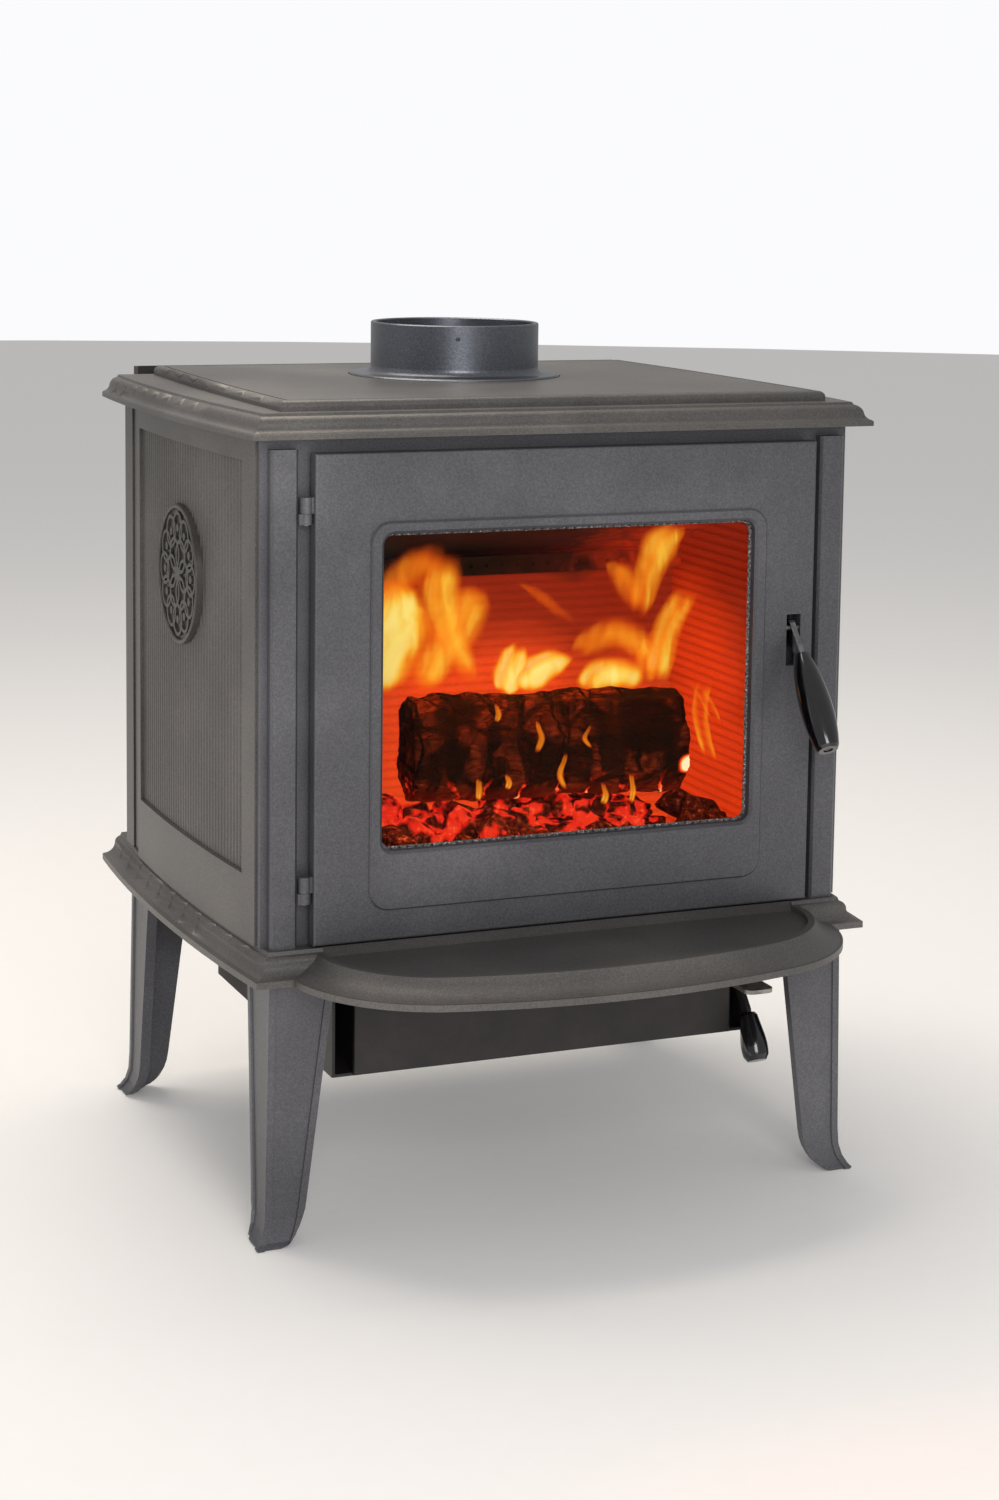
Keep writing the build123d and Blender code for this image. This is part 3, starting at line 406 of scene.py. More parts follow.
def charred_bark():
    """Burning birch log: brown ashy bark in flakes, wide black burnt patches and cracks, glowing cracks near
    the embers, one knot burning at the right end, and a red wash of painted ember light on its lowest part."""
    material, tree, place = new_material("Charred_Birch_Bark")
    burnt_spot, knot_spot = (0.138, -0.0085, 0.464), (0.181, -0.0085, 0.420)
    crack_pitch = 0.038
    crack = add_node(tree, "Attribute", attribute_name="crack").outputs["Fac"]
    axes = add_node(tree, "SeparateXYZ", {"Vector": place})
    flakes = add_node(tree, "Mapping", {"Vector": place, "Scale": (0.45, 1.0, 1.0)})
    bark = add_node(tree, "TexNoise", {"Vector": flakes.outputs[0], "Scale": 150.0, "Detail": 8.0,
                                       "Roughness": 0.75})
    split = add_node(tree, "TexVoronoi", {"Vector": flakes.outputs[0], "Scale": 110.0},
                     feature="DISTANCE_TO_EDGE")
    brown = add_node(tree, "ValToRGB", {"Fac": bark.outputs["Fac"]},
                     stops=((0.36, "#100705"), (0.5, "#34180d"), (0.62, "#542c1a"), (0.74, "#7c4c36")))
    tall = add_node(tree, "Mapping", {"Vector": place, "Scale": (1.5, 1.0, 0.75)})
    patch = add_node(tree, "TexNoise", {"Vector": tall.outputs[0], "Scale": 17.0, "Detail": 5.0,
                                        "Roughness": 0.65})
    burnt = add_node(tree, "MapRange", {"Value": patch.outputs["Fac"], "From Min": 0.5, "From Max": 0.56,
                                        "To Max": 0.95})
    # the front face is looked at as a drawing in x and z: depth counts for a tenth
    face = add_node(tree, "Mapping", {"Vector": place, "Scale": (1.0, 0.1, 1.0)})
    blob = add_node(tree, "VectorMath", {0: face.outputs[0], 1: burnt_spot},
                    operation="DISTANCE")
    ragged = add_node(tree, "Math", {0: bark.outputs["Fac"], 1: 0.03, 2: blob.outputs["Value"]},
                      operation="MULTIPLY_ADD")
    charred = add_node(tree, "MapRange", {"Value": ragged.outputs[0], "From Min": 0.052, "From Max": 0.045,
                                          "To Max": 0.97})
    # long, ragged cracks run up the face at this pitch
    warp = add_node(tree, "TexNoise", {"Vector": face.outputs[0], "Scale": 26.0, "Detail": 4.0,
                                       "Roughness": 0.6})
    bent = add_node(tree, "Math", {0: warp.outputs["Fac"], 1: 0.06, 2: axes.outputs["X"]},
                    operation="MULTIPLY_ADD")
    beat = add_node(tree, "Math", {0: bent.outputs[0], 1: 1 / crack_pitch}, operation="MULTIPLY")
    gap = add_node(tree, "Math", {0: beat.outputs[0], 1: 0.5}, operation="PINGPONG")
    width = add_node(tree, "Math", {0: bark.outputs["Fac"], 1: 0.22, 2: -0.035}, operation="MULTIPLY_ADD")
    inside = add_node(tree, "Math", {0: width.outputs[0], 1: gap.outputs[0]}, operation="SUBTRACT")
    seam = add_node(tree, "MapRange", {"Value": inside.outputs[0], "From Min": -0.01, "From Max": 0.02})
    valley = add_node(tree, "MapRange", {"Value": crack, "From Min": 0.5 / 0.9, "From Max": 0.7 / 0.9,
                                         "To Max": 0.9})
    deep = add_node(tree, "Math", {0: valley.outputs["Result"], 1: seam.outputs["Result"]},
                    operation="MAXIMUM")
    fine = add_node(tree, "MapRange", {"Value": split.outputs["Distance"], "From Min": 0.06,
                                       "From Max": 0.0, "To Max": 0.7})
    black = add_node(tree, "Math", {0: burnt.outputs["Result"], 1: charred.outputs["Result"]},
                     operation="MAXIMUM")
    dark = add_node(tree, "Math", {0: deep.outputs[0], 1: fine.outputs["Result"]},
                    operation="MAXIMUM")
    burn = add_node(tree, "Math", {0: black.outputs[0], 1: dark.outputs[0]}, operation="MAXIMUM")
    colour = add_node(tree, "Mix", {0: burn.outputs[0], 6: brown.outputs["Color"],
                                    7: linear("#030202")}, data_type="RGBA")
    # cracks glow only close to the embers, and in places
    low = add_node(tree, "MapRange", {"Value": axes.outputs["Z"], "From Min": 0.418, "From Max": 0.385})
    hot_crack = add_node(tree, "MapRange", {"Value": inside.outputs[0], "From Min": 0.0,
                                            "From Max": 0.035})
    coal = add_node(tree, "TexNoise", {"Vector": place, "Scale": 60.0, "Detail": 3.0})
    spotty = add_node(tree, "MapRange", {"Value": coal.outputs["Fac"], "From Min": 0.42, "From Max": 0.62})
    lit = add_node(tree, "Math", {0: hot_crack.outputs["Result"], 1: low.outputs["Result"]},
                   operation="MULTIPLY")
    burning = add_node(tree, "Math", {0: lit.outputs[0], 1: spotty.outputs["Result"]},
                       operation="MULTIPLY")
    knot = add_node(tree, "VectorMath", {0: face.outputs[0], 1: knot_spot},
                    operation="DISTANCE")
    ember = add_node(tree, "MapRange", {"Value": knot.outputs["Value"], "From Min": 0.012,
                                        "From Max": 0.006, "To Max": 1.3})
    heat = add_node(tree, "Math", {0: burning.outputs[0], 1: ember.outputs["Result"]}, operation="MAXIMUM")
    glow = add_node(tree, "ValToRGB", {"Fac": heat.outputs[0]},
                    stops=((0.0, "#000000"), (0.2, "#8c1206"), (0.5, "#f0421a"), (0.75, "#ffa048"),
                           (1.0, "#fff2c8")))
    # a red wash painted on the lowest part of the log: painted light from the embers below
    painted_ember_light = add_node(tree, "MapRange", {"Value": axes.outputs["Z"], "From Min": 0.405, "From Max": 0.372,
                                        "To Max": 0.12})
    red = add_node(tree, "VectorMath", {0: linear("#ff3010")[:3], "Scale": painted_ember_light.outputs["Result"]},
                   operation="SCALE")
    crack_glow_and_painted_ember_light = add_node(tree, "VectorMath", {0: glow.outputs["Color"], 1: red.outputs[0]}, operation="ADD")
    grain = add_node(tree, "Math", {0: bark.outputs["Fac"], 1: fine.outputs["Result"]},
                     operation="SUBTRACT")
    carved = add_node(tree, "Math", {0: grain.outputs[0], 1: seam.outputs["Result"]},
                      operation="SUBTRACT")
    relief = add_node(tree, "Bump", {"Strength": 1.0, "Distance": 2.5 * MM, "Height": carved.outputs[0]})
    surface = add_node(tree, "BsdfPrincipled", {
        "Base Color": colour.outputs[2], "Roughness": 0.9, "Specular IOR Level": 0.08,
        "Emission Color": crack_glow_and_painted_ember_light.outputs[0], "Emission Strength": 1.2, "Normal": relief.outputs["Normal"]})
    finish_material(tree, surface)
    return material


def charcoal(name, ash_share, glow_share, strength):
    """Broken wood charcoal: a dark, crumbly crust with brown-grey ash on it, glowing red in
    patches that the crust breaks up."""
    material, tree, place = new_material(name)
    crust = add_node(tree, "TexNoise", {"Vector": place, "Scale": 150.0, "Detail": 6.0, "Roughness": 0.7})
    region = add_node(tree, "TexNoise", {"Vector": place, "Scale": 45.0, "Detail": 2.0})
    ash = add_node(tree, "ValToRGB", {"Fac": crust.outputs["Fac"]},
                   stops=((0.38, "#120706"), (0.52, "#3c1a12"), (0.62, "#6a3c2c"),
                          (0.62 + 0.3 * (1 - ash_share), "#9a7460")))
    hot = add_node(tree, "MapRange", {"Value": region.outputs["Fac"], "From Min": 0.68 - glow_share,
                                      "From Max": 0.82 - glow_share}, interpolation_type="SMOOTHSTEP")
    mottle = add_node(tree, "MapRange", {"Value": crust.outputs["Fac"], "From Min": 0.35,
                                         "From Max": 0.6, "To Min": 1.0, "To Max": 0.45})
    broken = add_node(tree, "Math", {0: hot.outputs["Result"], 1: mottle.outputs["Result"]},
                      operation="MULTIPLY")
    glow = add_node(tree, "ValToRGB", {"Fac": broken.outputs[0]},
                    stops=((0.0, "#000000"), (0.2, "#5c0806"), (0.45, "#d01a10"), (0.75, "#f43420"),
                           (1.0, "#ff6a3c")))
    relief = add_node(tree, "Bump", {"Strength": 0.8, "Distance": 1.5 * MM,
                                     "Height": crust.outputs["Fac"]})
    surface = add_node(tree, "BsdfPrincipled", {
        "Base Color": ash.outputs["Color"], "Roughness": 0.95, "Specular IOR Level": 0.1,
        "Emission Color": glow.outputs["Color"], "Emission Strength": strength,
        "Normal": relief.outputs["Normal"]})
    finish_material(tree, surface)
    return material


def wood_flame():
    """Burning wood gas: thin orange at its rim, yellow inside and almost white at its core, in
    streaks that follow the flame, and clear where there is no gas left."""
    material, tree, place = new_material("Wood_Gas_Flame")
    body = add_node(tree, "Attribute", attribute_name="thickness").outputs["Fac"]
    warmth = add_node(tree, "Attribute", attribute_name="warmth").outputs["Fac"]
    streak_place = add_node(tree, "Mapping", {"Vector": place, "Scale": (40.0, 8.0, 13.0),
                                              "Rotation": (0.0, 0.35, 0.0)})
    streak = add_node(tree, "TexNoise", {"Vector": streak_place.outputs[0], "Scale": 1.0, "Detail": 3.0,
                                         "Distortion": 1.2})
    wisp = add_node(tree, "MapRange", {"Value": streak.outputs["Fac"], "From Min": 0.3, "From Max": 0.7,
                                       "To Min": 0.7, "To Max": 1.12})
    dense = add_node(tree, "Math", {0: body, 1: warmth}, operation="MULTIPLY")
    density = add_node(tree, "Math", {0: dense.outputs[0], 1: wisp.outputs["Result"]},
                       operation="MULTIPLY")
    cover = add_node(tree, "MapRange", {"Value": density.outputs[0], "From Min": 0.0, "From Max": 0.85,
                                        "To Max": 0.8}, interpolation_type="SMOOTHSTEP")
    colour = add_node(tree, "ValToRGB", {"Fac": density.outputs[0]},
                      stops=((0.05, "#f4500f"), (0.28, "#ff6f16"), (0.52, "#ff9a20"), (0.72, "#ffd044"),
                             (0.95, "#fff38c")))
    light = add_node(tree, "Emission", {"Color": colour.outputs["Color"], "Strength": 1.15})
    clear = add_node(tree, "BsdfTransparent")
    flame = add_node(tree, "MixShader", {0: cover.outputs["Result"], 1: clear.outputs[0],
                                         2: light.outputs[0]})
    finish_material(tree, flame)
    return material


# ---------------------------------------------------------------------------------------------
# settings
# ---------------------------------------------------------------------------------------------

class StoveFireSettings(bpy.types.PropertyGroup):
    """Sizes of the log, the coals and the flames."""
    log_length: bpy.props.FloatProperty(
        name="Log length", description="Length of the burning log", default=0.301, unit="LENGTH")
    log_radius: bpy.props.FloatProperty(
        name="Log radius", description="Half thickness of the burning log", default=0.056, unit="LENGTH")
    coal_count: bpy.props.IntProperty(
        name="Coals", description="Number of loose coals on the bed", default=150)
    coal_size: bpy.props.FloatProperty(
        name="Coal size", description="Typical width of a loose coal", default=0.029, unit="LENGTH")
    flame_depth: bpy.props.FloatProperty(
        name="Flame depth", description="Front-to-back thickness of a flame", default=0.03, unit="LENGTH")


class StoveFinishSettings(bpy.types.PropertyGroup):
    """Roughness and sizes of the surface finishes."""
    paint_roughness: bpy.props.FloatProperty(
        name="Paint roughness", description="Roughness of the stove paint", default=0.43, subtype="FACTOR")
    # strength of the painted firelight: the emission standing in for the fire's light on the lining
    brick_painted_firelight: bpy.props.FloatProperty(
        name="Brick glow", description="Strength of the glow of the lining", default=1.0)
    bead_size: bpy.props.FloatProperty(
        name="Gasket bead", description="Width of one yarn bead in the glass gasket", default=0.0026,
        unit="LENGTH")


class StoveStageSettings(bpy.types.PropertyGroup):
    """Camera, light and floor."""
    lens: bpy.props.FloatProperty(
        name="Lens", description="Focal length in millimetres", default=68.39, subtype="DISTANCE_CAMERA")
    key_power: bpy.props.FloatProperty(
        name="Key light", description="Power of the main soft light", default=52.0, unit="POWER")
    fill_power: bpy.props.FloatProperty(
        name="Fill light", description="Power of the side light", default=3.0, unit="POWER")
    top_power: bpy.props.FloatProperty(
        name="Top light", description="Power of the light over the stove", default=62.0, unit="POWER")
    fire_power: bpy.props.FloatProperty(
        name="Fire light", description="Power of the light in the firebox", default=2.2, unit="POWER")
    floor_colour: bpy.props.FloatVectorProperty(
        name="Floor colour", description="Colour of the studio floor", default=linear("#f1efec")[:3],
        size=3, subtype="COLOR")


# ---------------------------------------------------------------------------------------------
# operators
# ---------------------------------------------------------------------------------------------

class STOVE_OT_stage(bpy.types.Operator):
    """Set up the camera, the pale floor and the soft studio light"""
    bl_idname = "stove.stage"
    bl_label = "Studio"

    def execute(self, context):
        settings = context.scene.stove_stage
        clear_selection()
        stand = (-1.1074, -2.7289, 1.0358)
        yaw, pitch, roll = 0.4142, 0.1257, 0.0161
        film_width, film_shift = 36.0, (-0.0534, -0.1467)
        bpy.ops.object.camera_add()
        camera = context.active_object
        camera.name = "Camera"
        turn = (Matrix.Rotation(-yaw, 4, "Z") @ Matrix.Rotation(math.pi / 2 - pitch, 4, "X")
                @ Matrix.Rotation(roll, 4, "Z"))
        camera.matrix_world = Matrix.Translation(stand) @ turn
        camera.data.lens = settings.lens
        camera.data.sensor_width = film_width
        camera.data.shift_x, camera.data.shift_y = film_shift
        context.scene.camera = camera

        clear_selection()
        bpy.ops.mesh.primitive_circle_add(vertices=64, radius=14.0, fill_type="NGON")
        floor = start_piece("Studio_Floor")
        material, tree, place = new_material("Pale_Studio_Paper")
        fibre = add_node(tree, "TexNoise", {"Vector": place, "Scale": 40.0, "Detail": 3.0})
        tone = add_node(tree, "Mix", {0: fibre.outputs["Fac"], 6: (*settings.floor_colour, 1.0),
                                      7: linear("#f7f5f2")}, data_type="RGBA")
        surface = add_node(tree, "BsdfPrincipled", {"Base Color": tone.outputs[2], "Roughness": 0.8,
                                                    "Specular IOR Level": 0.2,
                                                    "Emission Color": linear("#fffdfa"),
                                                    "Emission Strength": 0.12})
        finish_material(tree, surface)
        floor.data.materials.append(material)

        world = bpy.data.worlds.new("Studio_Air")
        context.scene.world = world
        world.use_nodes = True
        air = world.node_tree.nodes["Background"]
        air.inputs["Color"].default_value = linear("#fbfbfd")
        # the backdrop looks white while it lights the stove only dimly
        seen = world.node_tree.nodes.new("ShaderNodeLightPath").outputs["Is Camera Ray"]
        level = add_node(world.node_tree, "MapRange", {"Value": seen, "To Min": 0.42, "To Max": 1.0})
        world.node_tree.links.new(level.outputs["Result"], air.inputs["Strength"])
        context.scene.view_settings.view_transform = "Standard"

        lamps = (
            ("Key_Softbox", (-0.9, -3.8, 1.9), (0.0, 0.0, 0.40), 1.6, settings.key_power, "#fbfaff"),
            ("Left_Softbox", (-3.4, 0.6, 1.9), (0.0, 0.0, 0.5), 1.6, settings.fill_power, "#f4f6ff"),
            ("Top_Softbox", (-0.3, 0.9, 3.2), (0.0, 0.1, 0.8), 2.0, settings.top_power, "#fff6ea"),
        )
        for name, spot, target, width, power, colour in lamps:
            clear_selection()
            bpy.ops.object.light_add(type="AREA", location=spot)
            lamp = context.active_object
            lamp.name = name
            lamp.rotation_euler = (Vector(target) - Vector(spot)).to_track_quat("-Z", "Y").to_euler()
            lamp.data.shape = "SQUARE"
            lamp.data.size = width
            lamp.data.energy = power
            lamp.data.color = linear(colour)[:3]
        # over the fire, and thrown back by the embers and the glass on to the front of the log;
        # each has its width and depth and a share of the fire's power
        fire_lamps = (
            ("Fire_Light", (0.02, -0.05, 0.60), 0.0, (0.36, 0.10), 1.0, "#ff7a30"),
            ("Ember_Light", (0.02, -0.150, 0.40), math.radians(100), (0.34, 0.04), 0.28, "#ff9a62"),
        )
        for name, spot, tilt, (width, depth), share, colour in fire_lamps:
            clear_selection()
            bpy.ops.object.light_add(type="AREA", location=spot, rotation=(tilt, 0, 0))
            lamp = context.active_object
            lamp.name = name
            lamp.data.shape = "RECTANGLE"
            lamp.data.size, lamp.data.size_y = width, depth
            lamp.data.energy = share * settings.fire_power
            lamp.data.color = linear(colour)[:3]
        return {"FINISHED"}


class STOVE_OT_castings(bpy.types.Operator):
    """Finish the painted iron castings of the body, the door, the legs and the collar"""
    bl_idname = "stove.castings"
    bl_label = "Painted Castings"

    def execute(self, context):
        rough = context.scene.stove_finish.paint_roughness
        body = cast_iron_paint("Graphite_Paint_On_Body_Castings", "#706d6a", "#86827d", "#65625f", rough)
        front = cast_iron_paint("Graphite_Paint_On_Front_Castings", "#6c6c70", "#828286", "#626266", rough)
        ornament = cast_iron_paint("Graphite_Paint_On_Ornament", "#605c58", "#8a857f", "#4d4a47", rough)
        # the flue collar gets a paler, bluer copy of the body paint as a painted highlight, with more
        # metallic and a lower roughness for its shine
        flue = cast_iron_paint("Graphite_Paint_On_Flue_Collar_With_Painted_Highlight", "#7c7f86", "#8d9097", "#6e7178", rough - 0.08,
                               metallic=0.85)
        paint(flue, "flue_collar")
        paint(body, "base_plate", "top_plate", "side_panel_left", "side_panel_right",
              "rear_plate")
        paint(front, "front_frame", "door_casting", "leg_front_left", "leg_front_right",
              "leg_rear_left", "leg_rear_right")
        paint(ornament, "medallion_left", "medallion_right")
        return {"FINISHED"}


class STOVE_OT_sheet_metal(bpy.types.Operator):
    """Finish the ash box, the drawer, the heat shield and their brackets"""
    bl_idname = "stove.sheet_metal"
    bl_label = "Sheet Metal"

    def execute(self, context):
        paint(sheet_steel_paint(), "ash_housing", "ash_drawer", "drawer_front", "rear_heat_shield",
              "shield_spacers", "slide_guides", "riddling_lever")
        return {"FINISHED"}


class STOVE_OT_hardware(bpy.types.Operator):
    """Finish the screws, pins, clips, levers and grips"""
    bl_idname = "stove.hardware"
    bl_label = "Hardware and Grips"

    def execute(self, context):
        zinc = bare_steel("Zinc_Plated_Steel", "#a9a8a3", "#83827d", 0.4, 0.1)
        nickel = bare_steel("Polished_Nickel_Plate", "#a3a3a2", "#7d7d7c", 0.2, 0.05)
        paint(zinc, "air_slide", "flue_bolts", "hinge_pins", "shield_screws", "glass_clips", "clip_screws",
              "latch_pin", "grip_screw", "leg_bolts", "lever_pin")
        paint(nickel, "latch_lever")
        paint(black_bakelite(), "handle_grip", "riddling_grip")
        return {"FINISHED"}


class STOVE_OT_firebox(bpy.types.Operator):
    """Finish the glass, the lining, the grates and the door seal"""
    bl_idname = "stove.firebox"
    bl_label = "Glass and Lining"

    def execute(self, context):
        glow = context.scene.stove_finish.brick_painted_firelight
        # the lining's glow is the fire's light painted on as emission, with painted shade in the grooves
        back = firebrick_with_painted_firelight("Vermiculite_Back_With_Painted_Firelight", "#e8481a", "#86200e", "#30100a",
                                 top_z=0.60, groove=0.84, strength=glow)
        side = firebrick_with_painted_firelight("Vermiculite_Sides_With_Painted_Firelight", "#d8380f", "#8c1e08", "#4c1006",
                                 top_z=0.74, groove=0.72, strength=glow)
        paint(back, "firebrick_back")
        paint(side, "firebrick_left", "firebrick_right")
        # both get a red glow of painted firelight, faint on the grates and strong on the roof
        paint(sooted_iron_with_painted_firelight("Sooted_Grey_Iron_With_Painted_Firelight", "#1a0604"), "fire_back", "fixed_grate", "riddling_grate",
              "log_retainer")
        paint(sooted_iron_with_painted_firelight("Roof_Of_Firebox_With_Painted_Firelight", "#a8280e"), "secondary_air_bar", "baffle_plate")
        paint(glass_ceramic(), "door_glass")
        # the rope's white flecks are painted glints
        paint(glass_fibre_rope("Knitted_Glass_Fibre_Rope_With_Painted_Glints", "#3a3836", "#7a7672", "#c9c6c0"), "door_rope",
              "glass_gasket")
        return {"FINISHED"}


class STOVE_OT_gasket_beads(bpy.types.Operator):
    """Model the knitted yarn beads of the glass gasket that show round the pane"""
    bl_idname = "stove.gasket_beads"
    bl_label = "Glass Gasket"

    def execute(self, context):
        size = context.scene.stove_finish.bead_size
        inset, corner, rope_y = 1.6 * MM, 9.5 * MM, -0.1857
        spacing = size * 0.92
        zigzag, twist, jitter = 0.45 * MM, 0.7, 0.3
        long, deep, tall = 1.35, 0.9, 0.8
        rng = random.Random(7)
        clear_selection()
        bpy.ops.mesh.primitive_ico_sphere_add(subdivisions=1, radius=size / 2)
        bead = start_piece("Bead")
        points, faces = [], []
        half_x, half_z = OPENING_HALF_WIDTH - inset, OPENING_HALF_HEIGHT - inset
        straight_x, straight_z = 2 * (half_x - corner), 2 * (half_z - corner)
        arc = math.pi / 2 * corner
        length = 2 * (straight_x + straight_z) + 4 * arc
        count = int(length / spacing)
        for index in range(count):
            travel = length * index / count
            place, heading = Vector((-half_x + corner, 0, half_z)), 0.0
            for straight in (straight_x, straight_z, straight_x, straight_z):
                along = Vector((math.cos(heading), 0, math.sin(heading)))
                step = min(travel, straight)
                place = place + along * step
                travel -= step
                if travel <= 0:
                    break
                bend = min(travel, arc) / corner
                inward = Vector((math.sin(heading), 0, -math.cos(heading)))
                centre = place + inward * corner
                heading -= bend
                place = centre - Vector((math.sin(heading), 0, -math.cos(heading))) * corner
                travel -= bend * corner
                if travel <= 0:
                    break
            side = 1 if index % 2 else -1
            spot = Vector((GLASS_CENTRE.x, rope_y, GLASS_CENTRE.z)) + place + Vector((0, side * zigzag, 0))
            turn = (Matrix.Rotation(-heading, 3, "Y") @ Matrix.Rotation(side * twist, 3, "Y")
                    @ Matrix.Rotation(rng.uniform(-jitter, jitter), 3, "Z"))
            offset = len(points)
            for vertex in bead.data.vertices:
                shaped = Vector((vertex.co.x * long, vertex.co.y * deep, vertex.co.z * tall))
                points.append(spot + turn @ shaped)
            faces += [[offset + number for number in face.vertices] for face in bead.data.polygons]
        piece = mesh_piece("Glass_Gasket_Beads", points, faces)
        bpy.data.objects.remove(bead)
        select_only(piece)
        bpy.ops.object.shade_smooth()
        # the yarn's white flecks are painted glints
        rope = glass_fibre_rope("Gasket_Yarn_With_Painted_Glints", "#2c2b2a", "#6f6c69", "#f2f0ea")
        settle(piece, rope, "door")
        return {"FINISHED"}


class STOVE_OT_log(bpy.types.Operator):
    """Model the charred, cracked log"""
    bl_idname = "stove.log"
    bl_label = "Burning Log"

    def execute(self, context):
        settings = context.scene.stove_fire
        low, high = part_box("firewood_log")
        middle = (low + high) / 2
        shy_of_ends, roll, squash = 6 * MM, 0.15, 0.84
        clear_selection()
        bpy.ops.mesh.primitive_cylinder_add(vertices=9, radius=settings.log_radius,
                                            depth=settings.log_length - shy_of_ends,
                                            location=middle, rotation=(roll, math.pi / 2, 0))
        piece = start_piece("Charred_Log")
        bpy.ops.object.transform_apply(location=True, rotation=True, scale=True)
        bpy.ops.object.mode_set(mode="EDIT")
        bpy.ops.mesh.select_all(action="SELECT")
        bpy.ops.transform.resize(value=(1.0, squash, 1.0), center_override=middle)
        bpy.ops.mesh.bevel(offset=2 * MM, segments=2, affect="EDGES")
        bpy.ops.object.mode_set(mode="OBJECT")
        apply_modifier(piece, "REMESH", mode="VOXEL", voxel_size=2.0 * MM)
        roughen(piece, "CLOUDS", 0.07, 5 * MM, shift=(0.3, 0.1, 0.0), noise_depth=1)
        shape = [v.co.copy() for v in piece.data.vertices]
        # charred wood splits in blocks, here about 34 mm along the log and 50 to 65 mm round it
        roughen(piece, "VORONOI", 0.034, 11 * MM, stretch=(1.0, 1.5, 1.9), middle=0.0,
                shift=(0.013, 0.02, 0.011), weight_1=-1.0, weight_2=1.0, distance_metric="DISTANCE")
        crowns = [(v.co - before).length for v, before in zip(piece.data.vertices, shape)]
        roughen(piece, "CLOUDS", 0.012, 3.6 * MM, stretch=(2.2, 1, 0.7), noise_depth=2)
        roughen(piece, "CLOUDS", 0.005, 1.6 * MM, stretch=(2.0, 1, 0.8), noise_depth=1)
        highest = sorted(crowns)[int(0.8 * len(crowns))]
        store(piece, "crack", [1.0 - min(crown / highest, 1.0) for crown in crowns])
        select_only(piece)
        bpy.ops.object.shade_smooth_by_angle(angle=math.radians(50))
        settle(piece, charred_bark(), "stove")
        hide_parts("firewood_log")
        return {"FINISHED"}


